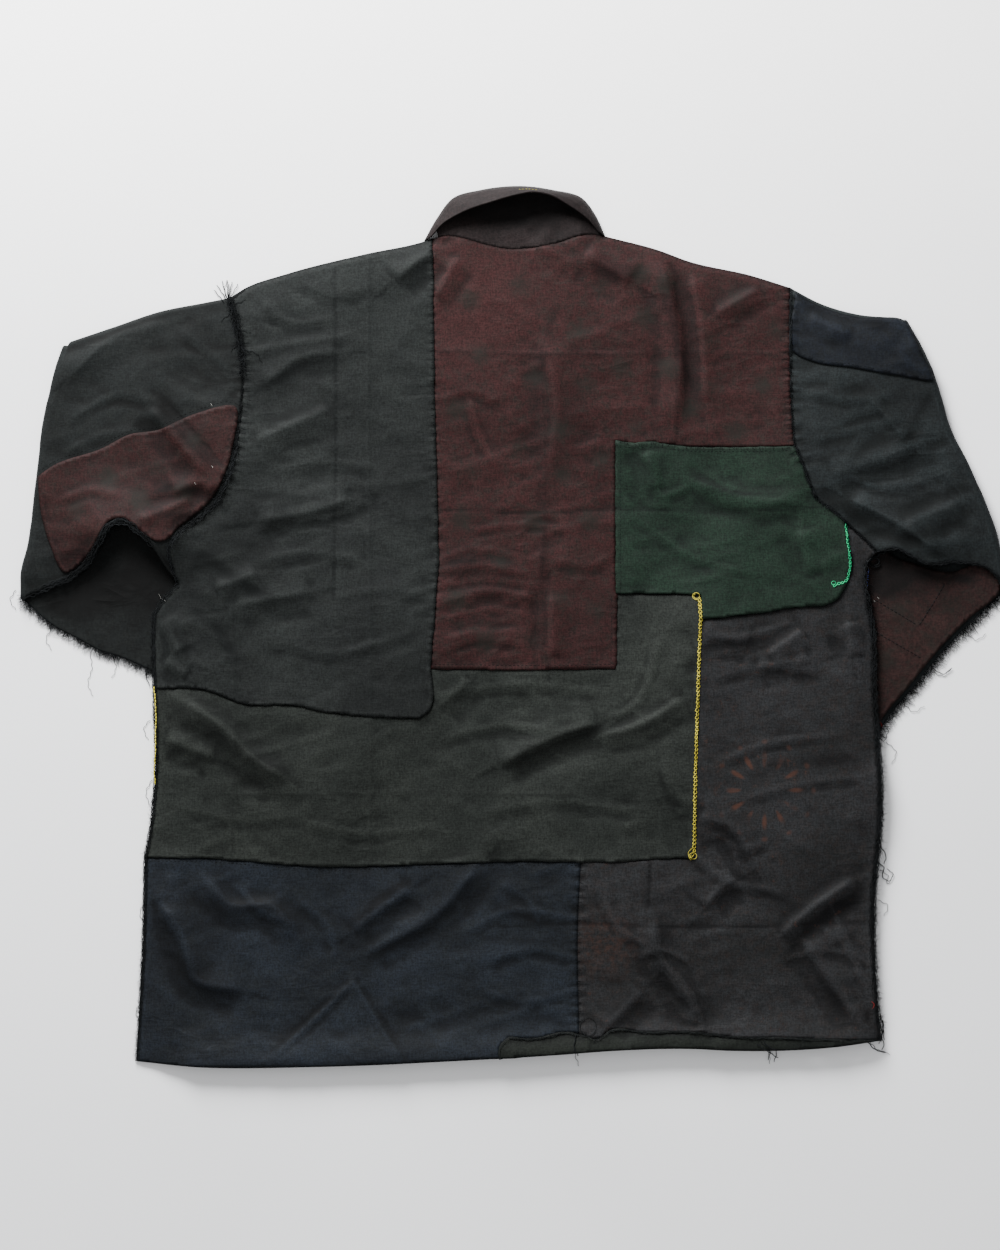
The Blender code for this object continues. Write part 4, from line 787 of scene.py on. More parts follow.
def dyeGroup():
    # washed and overdyed cotton: a painted highlight on crests, painted shade in troughs, along press creases
    # and where fade is below nought, paler where fade is above it, and darker along seams
    group, given, out = newGroup("washedDye", [
        ("Place", "Vector", None), ("Base", "Color", None), ("Worn", "Color", None), ("Deep", "Color", None),
        ("Crest", "Float", 0.5), ("Edge", "Float", 0.03), ("Shaded", "Float", 0.0), ("Slubs", "Float", 0.5),
        ("Mottle", "Float", 0.5), ("Fade", "Float", 0.0), ("Tint", "Color", None), ("Tinted", "Float", 0.0)],
        [("Color", "Color")])
    where = given["Place"]
    clouds = cloudy(group, where, 11.0, 5.0, 0.62)
    blotch = cloudy(group, where, 48.0, 4.0, 0.65)
    speck = cloudy(group, where, 520.0, 3.0, 0.80)
    veil = cloudy(group, where, 150.0, 6.0, 0.72, 0.6)
    spread = times(group, ramp(group, clouds, 0.40, 0.66), given["Mottle"])
    color = blended(group, spread, given["Base"], given["Worn"])
    patchy = times(group, ramp(group, blotch, 0.44, 0.72), 0.40)
    color = blended(group, times(group, patchy, given["Mottle"]), color, given["Worn"])
    tinted = times(group, ramp(group, veil, 0.40, 0.68), given["Tinted"])
    color = blended(group, tinted, color, given["Tint"])
    faded = times(group, maths(group, "MAXIMUM", given["Fade"], 0.0), 0.75)
    color = blended(group, faded, color, given["Worn"])
    # painted shade where fade is below nought
    paintedShade = times(group, maths(group, "MAXIMUM", times(group, given["Fade"], -1.0), 0.0), 0.9)
    color = blended(group, paintedShade, color, given["Deep"])
    # painted highlight on crests and painted shade in troughs
    worn = times(group, ramp(group, given["Crest"], 0.52, 0.95), 0.25)
    color = blended(group, worn, color, given["Worn"])
    trough = times(group, ramp(group, minus(group, 1.0, given["Crest"]), 0.52, 0.95), 0.62)
    color = blended(group, trough, color, given["Deep"])
    rim = minus(group, 1.0, ramp(group, given["Edge"], 0.0002, 0.0030))
    uneven = ramp(group, blotch, 0.30, 0.62)
    rim = times(group, times(group, rim, uneven), 0.26)
    color = blended(group, rim, color, given["Deep"])
    # painted shade along press creases and beneath the collar's fall
    color = blended(group, times(group, given["Shaded"], 0.60), color, given["Deep"])
    threads = ramp(group, given["Slubs"], 0.40, 0.62)
    grain = plus(group, times(group, threads, 0.50), times(group, ramp(group, speck, 0.36, 0.64), 0.64))
    grain = plus(group, grain, 0.43)
    shade = node(group, "CombineXYZ", links={0: grain, 1: grain, 2: grain})
    color = blended(group, 1.0, color, shade.outputs[0], "MULTIPLY")
    group.links.new(color, out["Color"])
    return group


def flowerGroup():
    # the small flowers of the print, worn ragged; Near is one at a flower's middle
    group, given, out = newGroup("fadedFlowers", [
        ("Place", "Vector", None), ("Near", "Float", 0.0)], [("Mask", "Float")])
    ragged = cloudy(group, given["Place"], 240.0, 4.0, 0.75)
    level = plus(group, given["Near"], maths(group, "MULTIPLY_ADD", ragged, 0.9, -0.45))
    group.links.new(ramp(group, level, 0.02, 0.85), out["Mask"])
    return group


def wrinkleGroup():
    # fine creases of washed cotton, most of them across the back
    group, given, out = newGroup("fineCreases", [("Place", "Vector", None)], [("Height", "Float")])
    height = None
    sizes = ((30.0, 0.25, 0.40, 1.0), (58.0, -0.45, 0.45, 0.45), (110.0, 0.8, 0.55, 0.16))
    for scale, turn, squeeze, share in sizes:
        turned = node(group, "Mapping", {"Rotation": (0.0, 0.0, turn), "Scale": (squeeze, 1.0, 1.0)},
                      {"Vector": given["Place"]})
        waves = cloudy(group, turned.outputs[0], scale, 2.0, warp=0.5)
        away = maths(group, "ABSOLUTE", minus(group, waves, 0.5))
        ridge = minus(group, 1.0, maths(group, "MINIMUM", times(group, away, 5.0), 1.0))
        part = times(group, maths(group, "POWER", ridge, 1.5), share)
        height = part if height is None else plus(group, height, part)
    where = cloudy(group, given["Place"], 17.0, 2.0)
    height = times(group, height, ramp(group, where, 0.40, 0.66))
    group.links.new(height, out["Height"])
    return group


# the large flower: its middle in pixels, its two rings of petals in metres, and the stain by the navy panel
rustLook = {"centre": (764, 790), "petals": 12.0, "ring": 0.0285, "ringHalf": 0.0135, "outer": 0.0450,
            "outerHalf": 0.0060, "stain": (604, 944), "stainReach": 0.046}


def rustGroup():
    # one large faded flower: a ring of petals round its centre, and stray specks
    group, given, out = newGroup("rustFlower", [("Place", "Vector", None)], [("Mask", "Float")])
    centre, seam = ((*map(float, plan([rustLook[key]])[0]), 0.0) for key in ("centre", "stain"))
    middle = node(group, "VectorMath", {1: centre}, {0: given["Place"]}, operation="SUBTRACT")
    place = node(group, "SeparateXYZ", links={0: middle.outputs[0]})
    x, y = place.outputs[0], place.outputs[1]
    away = maths(group, "SQRT", plus(group, times(group, x, x), times(group, y, y)))
    turns = times(group, maths(group, "ARCTAN2", y, x), rustLook["petals"])
    ragged = cloudy(group, given["Place"], 230.0, 3.0, 0.7)
    petal = maths(group, "POWER", maths(group, "MULTIPLY_ADD", maths(group, "COSINE", turns), 0.5, 0.5), 2.6)
    uneven = maths(group, "MULTIPLY_ADD", ragged, 0.9, 0.55)
    ring = maths(group, "ABSOLUTE", minus(group, away, rustLook["ring"]))
    ring = minus(group, 1.0, ramp(group, ring, 0.001, rustLook["ringHalf"]))
    outer = maths(group, "ABSOLUTE", minus(group, away, rustLook["outer"]))
    outer = minus(group, 1.0, ramp(group, outer, 0.0, rustLook["outerHalf"]))
    both = maths(group, "MAXIMUM", ring, times(group, outer, 0.7))
    both = ramp(group, times(group, times(group, both, petal), uneven), 0.28, 1.00)
    missing = cloudy(group, given["Place"], 60.0, 2.0)
    both = times(group, both, ramp(group, missing, 0.24, 0.56))
    specks = cloudy(group, given["Place"], 150.0, 4.0, 0.75)
    few = cloudy(group, given["Place"], 14.0, 1.0)
    stray = times(group, ramp(group, specks, 0.60, 0.72), ramp(group, few, 0.48, 0.60))
    # a rusty stain by the seam to the navy panel
    near = node(group, "VectorMath", {1: seam}, {0: given["Place"]}, operation="DISTANCE")
    seamStain = minus(group, 1.0, ramp(group, near.outputs["Value"], 0.006, rustLook["stainReach"]))
    streak = ramp(group, specks, 0.34, 0.80)
    seamStain = times(group, times(group, seamStain, streak), 0.62)
    both = maths(group, "MAXIMUM", both, seamStain)
    group.links.new(maths(group, "MAXIMUM", both, times(group, stray, 0.55)), out["Mask"])
    return group


weave, dye, flowers, rust, wrinkles = weaveGroup(), dyeGroup(), flowerGroup(), rustGroup(), wrinkleGroup()


def useGroup(tree, group, values, links):
    return node(tree, "Group", values, links, node_tree=group)


def freshMaterial(name):
    # a new material: itself, its nodes, its shader and the place on the piece
    material = bpy.data.materials.new(name)
    material.use_nodes = True
    tree = material.node_tree
    return material, tree, tree.nodes["Principled BSDF"], node(tree, "TexCoord").outputs["Object"]


def clothMaterial(name, look):
    # washed cotton cloth from a dictionary of its colours
    material, tree, shader, place = freshMaterial(name)
    threads = useGroup(tree, weave, {"Threads": look["threads"], "Slub": look["slub"]}, {"Place": place})
    marks = {mark: node(tree, "Attribute", attribute_name=mark).outputs["Fac"]
             for mark in ("edge", "crest", "shaded", "fade", "flower")}
    colors = {key.title(): (*linear(*look[key]), 1.0) for key in ("base", "worn", "deep", "tint")}
    feeds = {key.title(): marks[key] for key in ("crest", "edge", "shaded", "fade")}
    dyed = useGroup(tree, dye, {**colors, "Mottle": look["mottle"], "Tinted": look["tinted"]},
                    {**feeds, "Place": place, "Slubs": threads.outputs["Slubs"]})
    color = dyed.outputs["Color"]
    if "flower" in look:
        faded = useGroup(tree, flowers, {}, {"Place": place, "Near": marks["flower"]})
        share = times(tree, faded.outputs["Mask"], look["flowerShare"])
        color = blended(tree, share, color, linear(*look["flower"]))
    if "rust" in look:
        stain = useGroup(tree, rust, {}, {"Place": place})
        share = times(tree, stain.outputs["Mask"], look["rustShare"])
        color = blended(tree, share, color, linear(*look["rust"]))
    tree.links.new(color, shader.inputs["Base Color"])
    rough = maths(tree, "MULTIPLY_ADD", threads.outputs["Slubs"], 0.16, look["rough"])
    tree.links.new(rough, shader.inputs["Roughness"])
    creased = useGroup(tree, wrinkles, {}, {"Place": place})
    relief = plus(tree, times(tree, threads.outputs["Height"], 0.16), creased.outputs["Height"])
    bump = node(tree, "Bump", {"Strength": look["bump"], "Distance": look["relief"]}, {"Height": relief})
    tree.links.new(bump.outputs["Normal"], shader.inputs["Normal"])
    shader.inputs["Specular IOR Level"].default_value = look["gloss"]
    return material


def threadMaterial(name, dark, light, fineness, gloss):
    # cotton sewing thread, lighter and darker from ply to ply
    material, tree, shader, place = freshMaterial(name)
    twist = cloudy(tree, place, fineness, 3.0, 0.7)
    broad = cloudy(tree, place, 40.0, 2.0)
    share = maths(tree, "MULTIPLY_ADD", ramp(tree, broad, 0.35, 0.65), 0.4,
                  times(tree, ramp(tree, twist, 0.35, 0.68), 0.6))
    color = blended(tree, share, linear(*dark), linear(*light))
    tree.links.new(color, shader.inputs["Base Color"])
    bump = node(tree, "Bump", {"Strength": 0.5, "Distance": 0.0003}, {"Height": twist})
    tree.links.new(bump.outputs["Normal"], shader.inputs["Normal"])
    tree.links.new(maths(tree, "MULTIPLY_ADD", twist, 0.2, 0.7), shader.inputs["Roughness"])
    shader.inputs["Specular IOR Level"].default_value = gloss
    return material


# The cloths: their colours as seen, how mottled and how pale with wear, and how coarse; paler is also the
# colour of the painted highlight on crests, and deep that of all painted shade
plain = {"threads": 1700.0, "slub": 0.6, "mottle": 0.55, "rough": 0.62, "bump": 0.7, "relief": 0.00055,
         "gloss": 0.10, "tint": (22, 24, 22), "tinted": 0.25}
greenBlack = dict(plain, base=(16, 18, 18), worn=(25, 28, 27), deep=(4, 6, 6))
maroon = dict(plain, base=(32, 14, 14), worn=(42, 21, 21), deep=(12, 5, 5), tint=(22, 22, 19), tinted=0.60,
              flower=(19, 20, 17), flowerShare=0.62)
navy = dict(plain, base=(13, 16, 20), worn=(23, 28, 35), deep=(4, 5, 7))
clothLooks = {
    "greenBlack": greenBlack, "maroon": maroon, "navy": navy,
    "sleeveGreen": dict(greenBlack, base=(10, 12, 12), worn=(17, 20, 20), deep=(1, 1, 1)),
    "green": dict(plain, base=(13, 25, 18), worn=(21, 36, 27), deep=(5, 11, 8)),
    "olive": dict(plain, base=(21, 24, 22), worn=(33, 36, 33), deep=(6, 8, 7)),
    "brown": dict(plain, base=(20, 21, 22), worn=(32, 33, 35), deep=(6, 6, 7), tint=(28, 20, 16), tinted=0.38,
                  rust=(62, 37, 27), rustShare=0.60),
    "strip": dict(plain, base=(15, 18, 16), worn=(26, 29, 25), deep=(5, 6, 6)),
    "slate": dict(plain, base=(14, 17, 18), worn=(26, 31, 32), deep=(4, 6, 6)),
    "shoulderNavy": dict(navy, base=(8, 11, 16), worn=(15, 20, 28), deep=(2, 3, 5)),
    "collar": dict(plain, base=(17, 13, 13), worn=(28, 22, 22), deep=(4, 3, 3), mottle=0.8,
                   tint=(24, 14, 14)),
    "sleeveMaroon": dict(maroon, base=(28, 12, 12), worn=(38, 19, 18), tinted=0.5),
    "forearmMaroon": dict(maroon, base=(28, 15, 14), worn=(40, 24, 22), deep=(4, 3, 3), flowerShare=0.5)}
clothOf = {name: clothMaterial(name + "Cotton", look) for name, look in clothLooks.items()}
# The threads: darkest and lightest colour, grain, gloss
threadLooks = {
    "black": ((5, 6, 6), (23, 25, 27), 900.0, 0.08),
    "frayed": ((7, 8, 8), (26, 29, 29), 700.0, 0.08),
    "yellow": ((128, 116, 26), (196, 186, 74), 1200.0, 0.2),
    "green": ((8, 104, 66), (42, 184, 122), 1200.0, 0.2),
    "blue": ((24, 36, 110), (70, 90, 190), 1200.0, 0.2),
    "red": ((90, 16, 14), (170, 40, 32), 1200.0, 0.2),
    "white": ((110, 110, 106), (190, 190, 184), 1200.0, 0.2)}
threadOf = {name: threadMaterial(name + "Thread", *look) for name, look in threadLooks.items()}
print("materials made")

# The patched back, from the neck down
panels = {
    "backLeft": {
        "slot": "green_black_cotton", "cloth": "greenBlack", "level": 0.0012, "seed": 41,
        "raw": [leftPanelEdge, leftPanelCorner, leftPanelHem],
        "outline": around(run(leftShoulder), run(leftArmhole), run(leftSideHigh), back(leftPanelHem),
                          back(leftPanelCorner), back(leftPanelEdge))},
    "backMaroon": {
        "slot": "maroon_print_cotton", "cloth": "maroon", "level": 0.0009, "seed": 42,
        "raw": [maroonFoot, maroonSide],
        "outline": around(run(neckSeam), run(rightShoulder), run(rightArmhole, 0, 4), back(greenTop),
                          back(greenSide), back(maroonSide), back(maroonFoot),
                          back(leftPanelEdge))},
    "backGreen": {
        "slot": "green_cotton", "cloth": "green", "level": 0.0016, "seed": 43,
        "raw": [greenTop, greenSide, greenRight, greenFoot, oliveTop],
        "outline": around(run(greenTop), run(rightArmhole, 4, 9), run(greenRight), run(greenFoot),
                          run(oliveCorner), run(oliveTop), run(greenSide))},
    "backOlive": {
        "slot": "olive_cotton", "cloth": "olive", "level": 0.0005, "seed": 44,
        "raw": [oliveFoot, oliveFootRight, oliveRight],
        "outline": around(run(leftSideMid), back(oliveFoot), back(oliveFootRight), back(oliveRight),
                          run(oliveCorner), run(oliveTop), back(maroonSide), back(maroonFoot),
                          run(leftPanelCorner), run(leftPanelHem))},
    "backNavy": {
        "slot": "navy_cotton", "cloth": "navy", "level": 0.0, "seed": 45,
        "raw": [],
        "outline": around(run(leftSideLow), run(leftHem), run(stripEnd), run(stripTop), back(navyRight),
                          run(oliveFoot))},
    "backBrown": {
        "slot": "brown_cotton", "cloth": "brown", "level": 0.0001, "seed": 46,
        "raw": [],
        "outline": around(run(oliveRight), run(oliveFootRight), run(navyRight), run(stripTopRight),
                          back(rightSide), back(rightUnderarm), back(rightArmhole, 9),
                          run(greenRight), run(greenFoot))},
    "hemStrip": {
        "slot": "green_black_cotton", "cloth": "strip", "level": 0.0006, "seed": 47,
        "raw": [stripTop, stripTopRight, stripEnd],
        "outline": around(run(stripEnd), run(stripTop), run(stripTopRight), back(stripHem))},
}
pieceOf = {name: backPanel(name, settings) for name, settings in panels.items()}
print("back panels made")


hiddenCloth = {"spacing": 0.008, "leafSpacing": 0.006, "level": 0.0010, "slack": 0.0006, "wall": 0.0009}


def frontHalf(name, outline, material):
    # a plain front, hidden beneath the back
    flat, faces = triangulated(outline, hiddenCloth["spacing"])
    edge = toEdge(flat, outline)
    slack = hiddenCloth["slack"] * smooth(edge / 0.02) * (1.0 + noise(flat, 0.05, 61))
    points = np.column_stack([flat, underLayer(flat) + hiddenCloth["level"] + slack])
    piece = addMesh(name, points, faces, material, [nodeOf(name)], marksOf(edge),
                    hiddenCloth["wall"])
    return piece


leftOutline = around(run(leftNeckline), run(centreFront), run(leftFrontHem), back(leftSideLow, 0, 1),
                     back(leftSideMid), back(leftSideHigh), back(leftArmhole), back(leftShoulder, 1))
rightOutline = around(run(rightNeckline), run(centreFront), run(rightFrontHem),
                      back(rightSide, 0, len(rightSide) - 2), back(rightUnderarm), back(rightArmhole),
                      back(rightShoulder, 1))
pieceOf["frontLeft"] = frontHalf("frontLeft", leftOutline,
                                 clothOf["greenBlack"])
pieceOf["frontRight"] = frontHalf("frontRight", rightOutline,
                                  clothOf["brown"])
print("fronts made")


def rowsBetween(start, end, top, foot, across, along):
    # rows of points from the edge called top to the edge called foot; the first row has
    # the bend of the start line, the last row the bend of the end line
    lines = [even(line, 400) for line in (start, end, top, foot)]
    at = np.linspace(0.0, 1.0, 400)
    bends = []
    for line in lines[:2]:
        curve = np.stack([np.interp(across, at, line[:, k]) for k in range(2)], axis=1)
        bends.append(curve - line[0] - across[:, None] * (line[-1] - line[0]))
    rows = []
    for v in along:
        edgeTop = np.array([np.interp(v, at, lines[2][:, k]) for k in range(2)])
        edgeFoot = np.array([np.interp(v, at, lines[3][:, k]) for k in range(2)])
        straight = edgeTop + across[:, None] * (edgeFoot - edgeTop)
        fade = (1.0 - v) ** (2.0 + 6.0 * across)
        rows.append(straight + fade[:, None] * bends[0] + v * v * bends[1])
    return np.array(rows)


# How a sleeve's mesh is laid: rows close to the edges, rows between, down the upper arm and the forearm, and
# round the fold; roll and forearmRoll are how far in from its edges the tube is rounded
sleeveMesh = {"width": 0.28, "near": (0.0, 0.0005, 0.0013, 0.0024, 0.0038, 0.0056, 0.008), "columns": 74,
              "upper": 92, "lower": 40, "turns": 8, "roll": 0.0032, "forearmRoll": 0.0016, "wavy": 0.00035}


def rolledAt(rows, across, reach):
    # nought at the two edges of each row, one where the tube is at its full height
    widths = np.linalg.norm(rows[:, -1] - rows[:, 0], axis=1)[:, None]
    fromEdge = np.minimum(across, 1.0 - across)[None, :] * widths
    return np.sqrt(np.clip(1.0 - (1.0 - np.minimum(fromEdge / reach, 1.0)) ** 2, 0.0, 1.0))


def sleeveRing(row, high, low):
    # one way round the tube: the showing side, then back along the hidden one
    return np.vstack([np.column_stack([row, high]), np.column_stack([row, low])[::-1][1:-1]])


def sleeve(name, armhole, top, underarm, elbow, forearmUp, forearmDown, material, seed):
    # a flattened tube that turns under itself at the elbow
    aside, top, underarm, elbow = run(armhole), run(top), run(underarm), run(elbow)
    forearmUp, forearmDown = run(forearmUp), run(forearmDown)
    chord = elbow[-1] - elbow[0]
    out = np.array([chord[1], -chord[0]]) / np.linalg.norm(chord)
    if out @ (elbow[0] - aside[0]) < 0.0:
        out = -out
    near = np.array(sleeveMesh["near"]) / sleeveMesh["width"]
    middle = np.linspace(near[-1], 1.0 - near[-1], sleeveMesh["columns"])
    across = np.concatenate([near[:-1], middle, 1.0 - near[:-1][::-1]])
    radius = 0.5 * float(topLayer(elbow).mean() + layers["sleeveLevel"])
    shift = out * radius
    # both edges end where the turn begins
    top = np.vstack([top[(top - top[-1] + shift) @ out < -0.0008], top[-1:] - shift])
    underarm = np.vstack([underarm[(underarm - underarm[-1] + shift) @ out < -0.0008], underarm[-1:] - shift])
    down = np.linspace(0.0, 1.0, sleeveMesh["upper"])
    upper = rowsBetween(aside, elbow - shift, top, underarm, across, down)
    cuff = np.vstack([forearmUp[-1:], forearmDown[-1:]])
    down = np.linspace(0.0, 1.0, sleeveMesh["lower"])
    lower = rowsBetween(elbow - shift, cuff, forearmUp - shift, forearmDown - shift, across, down)
    count = len(across)
    roll = rolledAt(upper, across, sleeveMesh["roll"])
    flat = upper.reshape(-1, 2)
    high = (topLayer(flat) + layers["sleeveLevel"]).reshape(upper.shape[:2])
    low = underLayer(flat).reshape(upper.shape[:2])
    mid = 0.5 * (high + low)
    high, low = mid + (high - mid) * roll, mid + (low - mid) * roll
    rings = [sleeveRing(upper[i], high[i], low[i]) for i in range(sleeveMesh["upper"])]
    roll = rolledAt(lower, across, sleeveMesh["forearmRoll"])
    wavy = sleeveMesh["wavy"] * (noise(lower.reshape(-1, 2), 0.018, seed).reshape(roll.shape) - 1.0)
    half = 0.5 * forearmTop
    # past the fold the showing side lies on the floor
    flatRings = [sleeveRing(lower[i], half - half * roll[i], half + (half + wavy[i]) * roll[i])
                 for i in range(sleeveMesh["lower"])]
    turned = []
    for k in range(1, sleeveMesh["turns"]):
        angle = math.pi * k / sleeveMesh["turns"]
        above, below = rings[-1], flatRings[0]
        centre = 0.5 * (above[:, 2] + below[:, 2])
        reach = 0.5 * (above[:, 2] - below[:, 2])
        mix = angle / math.pi
        place = (1.0 - mix) * above[:, :2] + mix * below[:, :2] + out * (reach * math.sin(angle))[:, None]
        turned.append(np.column_stack([place, centre + reach * math.cos(angle)]))
    rings = rings + turned + flatRings
    size = len(rings[0])
    points = np.vstack(rings)
    faces = []
    for station in range(len(rings) - 1):
        a, b = station * size, (station + 1) * size
        for i in range(size):
            j = (i + 1) % size
            if i < count - 1:
                faces += [(a + i, a + j, b + j), (a + i, b + j, b + i)]
            else:
                faces += [(a + i, a + j, b + i), (a + j, b + j, b + i)]
    faces = np.array(faces)
    # the walls face outwards: a face in the middle of the showing side must look up
    a, b, c = points[faces[2 * size * (sleeveMesh["upper"] // 3) + count]]
    if np.cross(b - a, c - a)[2] < 0.0:
        faces = faces[:, ::-1]
    both = np.concatenate([across, across[::-1][1:-1]])
    edge = np.tile(np.minimum(both * sleeveMesh["width"], (1.0 - both) * sleeveMesh["width"]), len(rings))
    edge = np.minimum(edge, nearLine(points[:, :2], aside, 0.03)[0])
    marks = marksOf(edge, crestOf(points, faces))
    piece = addMesh(name, points, faces, material, [nodeOf(name)], marks, showingCloth["wall"])
    return piece, points, faces, shift


pieceOf["sleeveLeft"], leftTube, leftTubeFaces, leftShift = sleeve(
    "sleeveLeft", leftArmhole, leftSleeveTop, leftUnderarm, leftElbow, leftForearmTop,
    leftForearmFoot, clothOf["sleeveGreen"], 71)
pieceOf["sleeveRight"], rightTube, rightTubeFaces, rightShift = sleeve(
    "sleeveRight", rightArmhole, rightSleeveTop, rightUnderarmEdge, rightElbow,
    rightForearmTop, rightForearmFoot, clothOf["slate"], 72)
print("sleeves made")


patchCloth = {"wall": 0.0009, "above": 0.0003, "pucker": 0.0003, "puckerReach": 0.004}


def sewnPatch(name, pixels, tube, tubeFaces, material, seed, flatTop=None):
    # a patch sewn on a sleeve, lying on the cloth beneath it
    outline = around(run(pixels + pixels[:1]))
    flat, faces = triangulated(outline, showingCloth["spacing"])
    edge = toEdge(flat, outline)
    if flatTop is None:
        tree = shapeTree(tube, tubeFaces)
        beneath = np.zeros(len(flat))
        for i, (x, y) in enumerate(flat):
            hit = touched(tree, x, y)
            if hit is None:
                hit = tree.find_nearest(Vector((x, y, patchedForearmTop)))[0]
            beneath[i] = hit.z
        high = beneath + patchCloth["above"] + 0.0011
    else:
        high = np.full(len(flat), flatTop) + 0.00025 * noise(flat, 0.018, seed)
    high = high + 0.0003 * noise(flat, 0.013, seed + 1) * smooth(edge / 0.006)
    high = high + patchCloth["pucker"] * np.sin(edge * 900.0) * np.exp(-edge / patchCloth["puckerReach"])
    points = np.column_stack([flat, high])
    marks = marksOf(edge, crestOf(points, faces))
    piece = addMesh(name, points, faces, material, [nodeOf(name)], marks, patchCloth["wall"])
    return piece


pieceOf["sleeveLeftPatch"] = sewnPatch(
    "sleeveLeftPatch", sleevePatch, leftTube, leftTubeFaces,
    clothOf["sleeveMaroon"], 81)
pieceOf["sleeveRightShoulderPatch"] = sewnPatch(
    "sleeveRightShoulderPatch", shoulderPatch, rightTube, rightTubeFaces,
    clothOf["shoulderNavy"], 82)
pieceOf["sleeveRightForearmPatch"] = sewnPatch(
    "sleeveRightForearmPatch", forearmPatch, None, None,
    clothOf["forearmMaroon"], 83, patchedForearmTop)
print("patches made")

# The collar: a stand that shows its inner side below the hollow, and a fall over it, whose profile runs from
# its outer fold to its free edge, as shares of its width and rise
collar = {"rise": 0.026, "endShare": 0.3, "swell": 0.9, "wall": 0.0016, "stations": 150, "across": 26,
          "profile": [(0.0, 0.0), (0.04, 0.28), (0.22, 0.56), (0.58, 0.82), (1.0, 1.0)],
          "flatWidth": 0.034, "cutShare": 0.9, "leafLevel": 0.0011}
foldLine = even(run(collarFold), collar["stations"])
freeLine = even(run(collarFreeEdge), collar["stations"])
collarIn = freeLine - foldLine
collarWidth = np.linalg.norm(collarIn, axis=1)
collarIn /= collarWidth[:, None]


def collarFall():
    t = np.linspace(0.0, 1.0, collar["stations"])
    swell = np.clip(np.sin(math.pi * t), 0.0, 1.0) ** collar["swell"]
    rise = collar["rise"] * (collar["endShare"] + (1.0 - collar["endShare"]) * swell)
    shape = np.array(collar["profile"])
    share = np.linspace(0.0, 1.0, collar["across"])
    knots = np.concatenate([[0.0], np.cumsum(np.linalg.norm(np.diff(shape, axis=0), axis=1))])
    knots /= knots[-1]
    out = np.interp(share, knots, shape[:, 0])
    up = np.interp(share, knots, shape[:, 1])
    for _ in range(3):
        out[1:-1] = (out[:-2] + 2 * out[1:-1] + out[2:]) / 4.0
        up[1:-1] = (up[:-2] + 2 * up[1:-1] + up[2:]) / 4.0
    points = []
    for i in range(collar["stations"]):
        ripple = 0.0007 * float(noise(foldLine[i:i + 1], 0.016, 95)[0])
        flat = foldLine[i] + collarIn[i] * (out * collarWidth[i])[:, None]
        z = up * rise[i] + 0.0006 + ripple * np.sin(share * math.pi)
        points.append(np.column_stack([flat, z]))
    points = np.vstack(points)
    size = collar["across"]
    faces = []
    for i in range(collar["stations"] - 1):
        for k in range(size - 1):
            a = i * size + k
            faces += [(a, a + 1, a + size + 1), (a, a + size + 1, a + size)]
    faces = np.array(faces)
    a, b, c = points[faces[len(faces) // 2]]
    if np.cross(b - a, c - a)[2] < 0.0:
        faces = faces[:, ::-1]
    edge = np.tile((1.0 - share) * 0.03, collar["stations"])
    marks = marksOf(edge, crestOf(points, faces))
    piece = addMesh("collarFall", points, faces, clothOf["collar"], ["collar_fall"],
                    marks, collar["wall"])
    return piece


def collarStand():
    neck = run(neckSeam)
    ends = plan(standEnds)
    rim = foldLine + collarIn * (1.3 * collar["wall"] + 0.0008)
    rim = rim[::-1][12:-12]
    outline = around(np.vstack([ends[:1], neck[4:-4], ends[1:]]), even(rim, 90),
                     np.vstack([rim[-1:], ends[:1]]))
    flat, faces = triangulated(outline, 0.0020)
    away, _, alongNeck = nearLine(flat, neck, 0.08)
    lower = smooth(away / 0.034)
    high = (1.0 - lower) * (topLayer(flat) + 0.0009) + lower * 0.0030
    pucker = np.sin(alongNeck / 0.0058 * 2.0 * math.pi + 2.0 * noise(flat, 0.02, 91))
    high = high + 0.00022 * pucker * np.exp(-away / 0.005) + 0.0005 * noise(flat, 0.011, 92)
    edge = toEdge(flat, outline)
    points = np.column_stack([flat, high])
    # painted shadow: the stand darkens beneath the fall
    paintedShade = smooth((away - 0.012) / 0.016)  # dark beneath the fall
    marks = marksOf(edge, crestOf(points, faces), 1.3 * paintedShade)
    piece = addMesh("collarStand", points, faces, clothOf["collar"], ["collar_stand"],
                    marks, showingCloth["wall"])
    return piece


pieceOf["collarStand"] = collarStand()
pieceOf["collarFall"] = collarFall()
for name, leaf in (("collarFrontLeft", collarLeaf), ("collarFrontRight", mirrored(collarLeaf))):
    outline = around(run(leaf + leaf[:1]))
    flat, faces = triangulated(outline, hiddenCloth["leafSpacing"])
    points = np.column_stack([flat, np.full(len(flat), collar["leafLevel"])])
    pieceOf[name] = addMesh(name, points, faces, clothOf["collar"], [nodeOf(name)],
                            marksOf(toEdge(flat, outline)), hiddenCloth["wall"])
print("collar made")



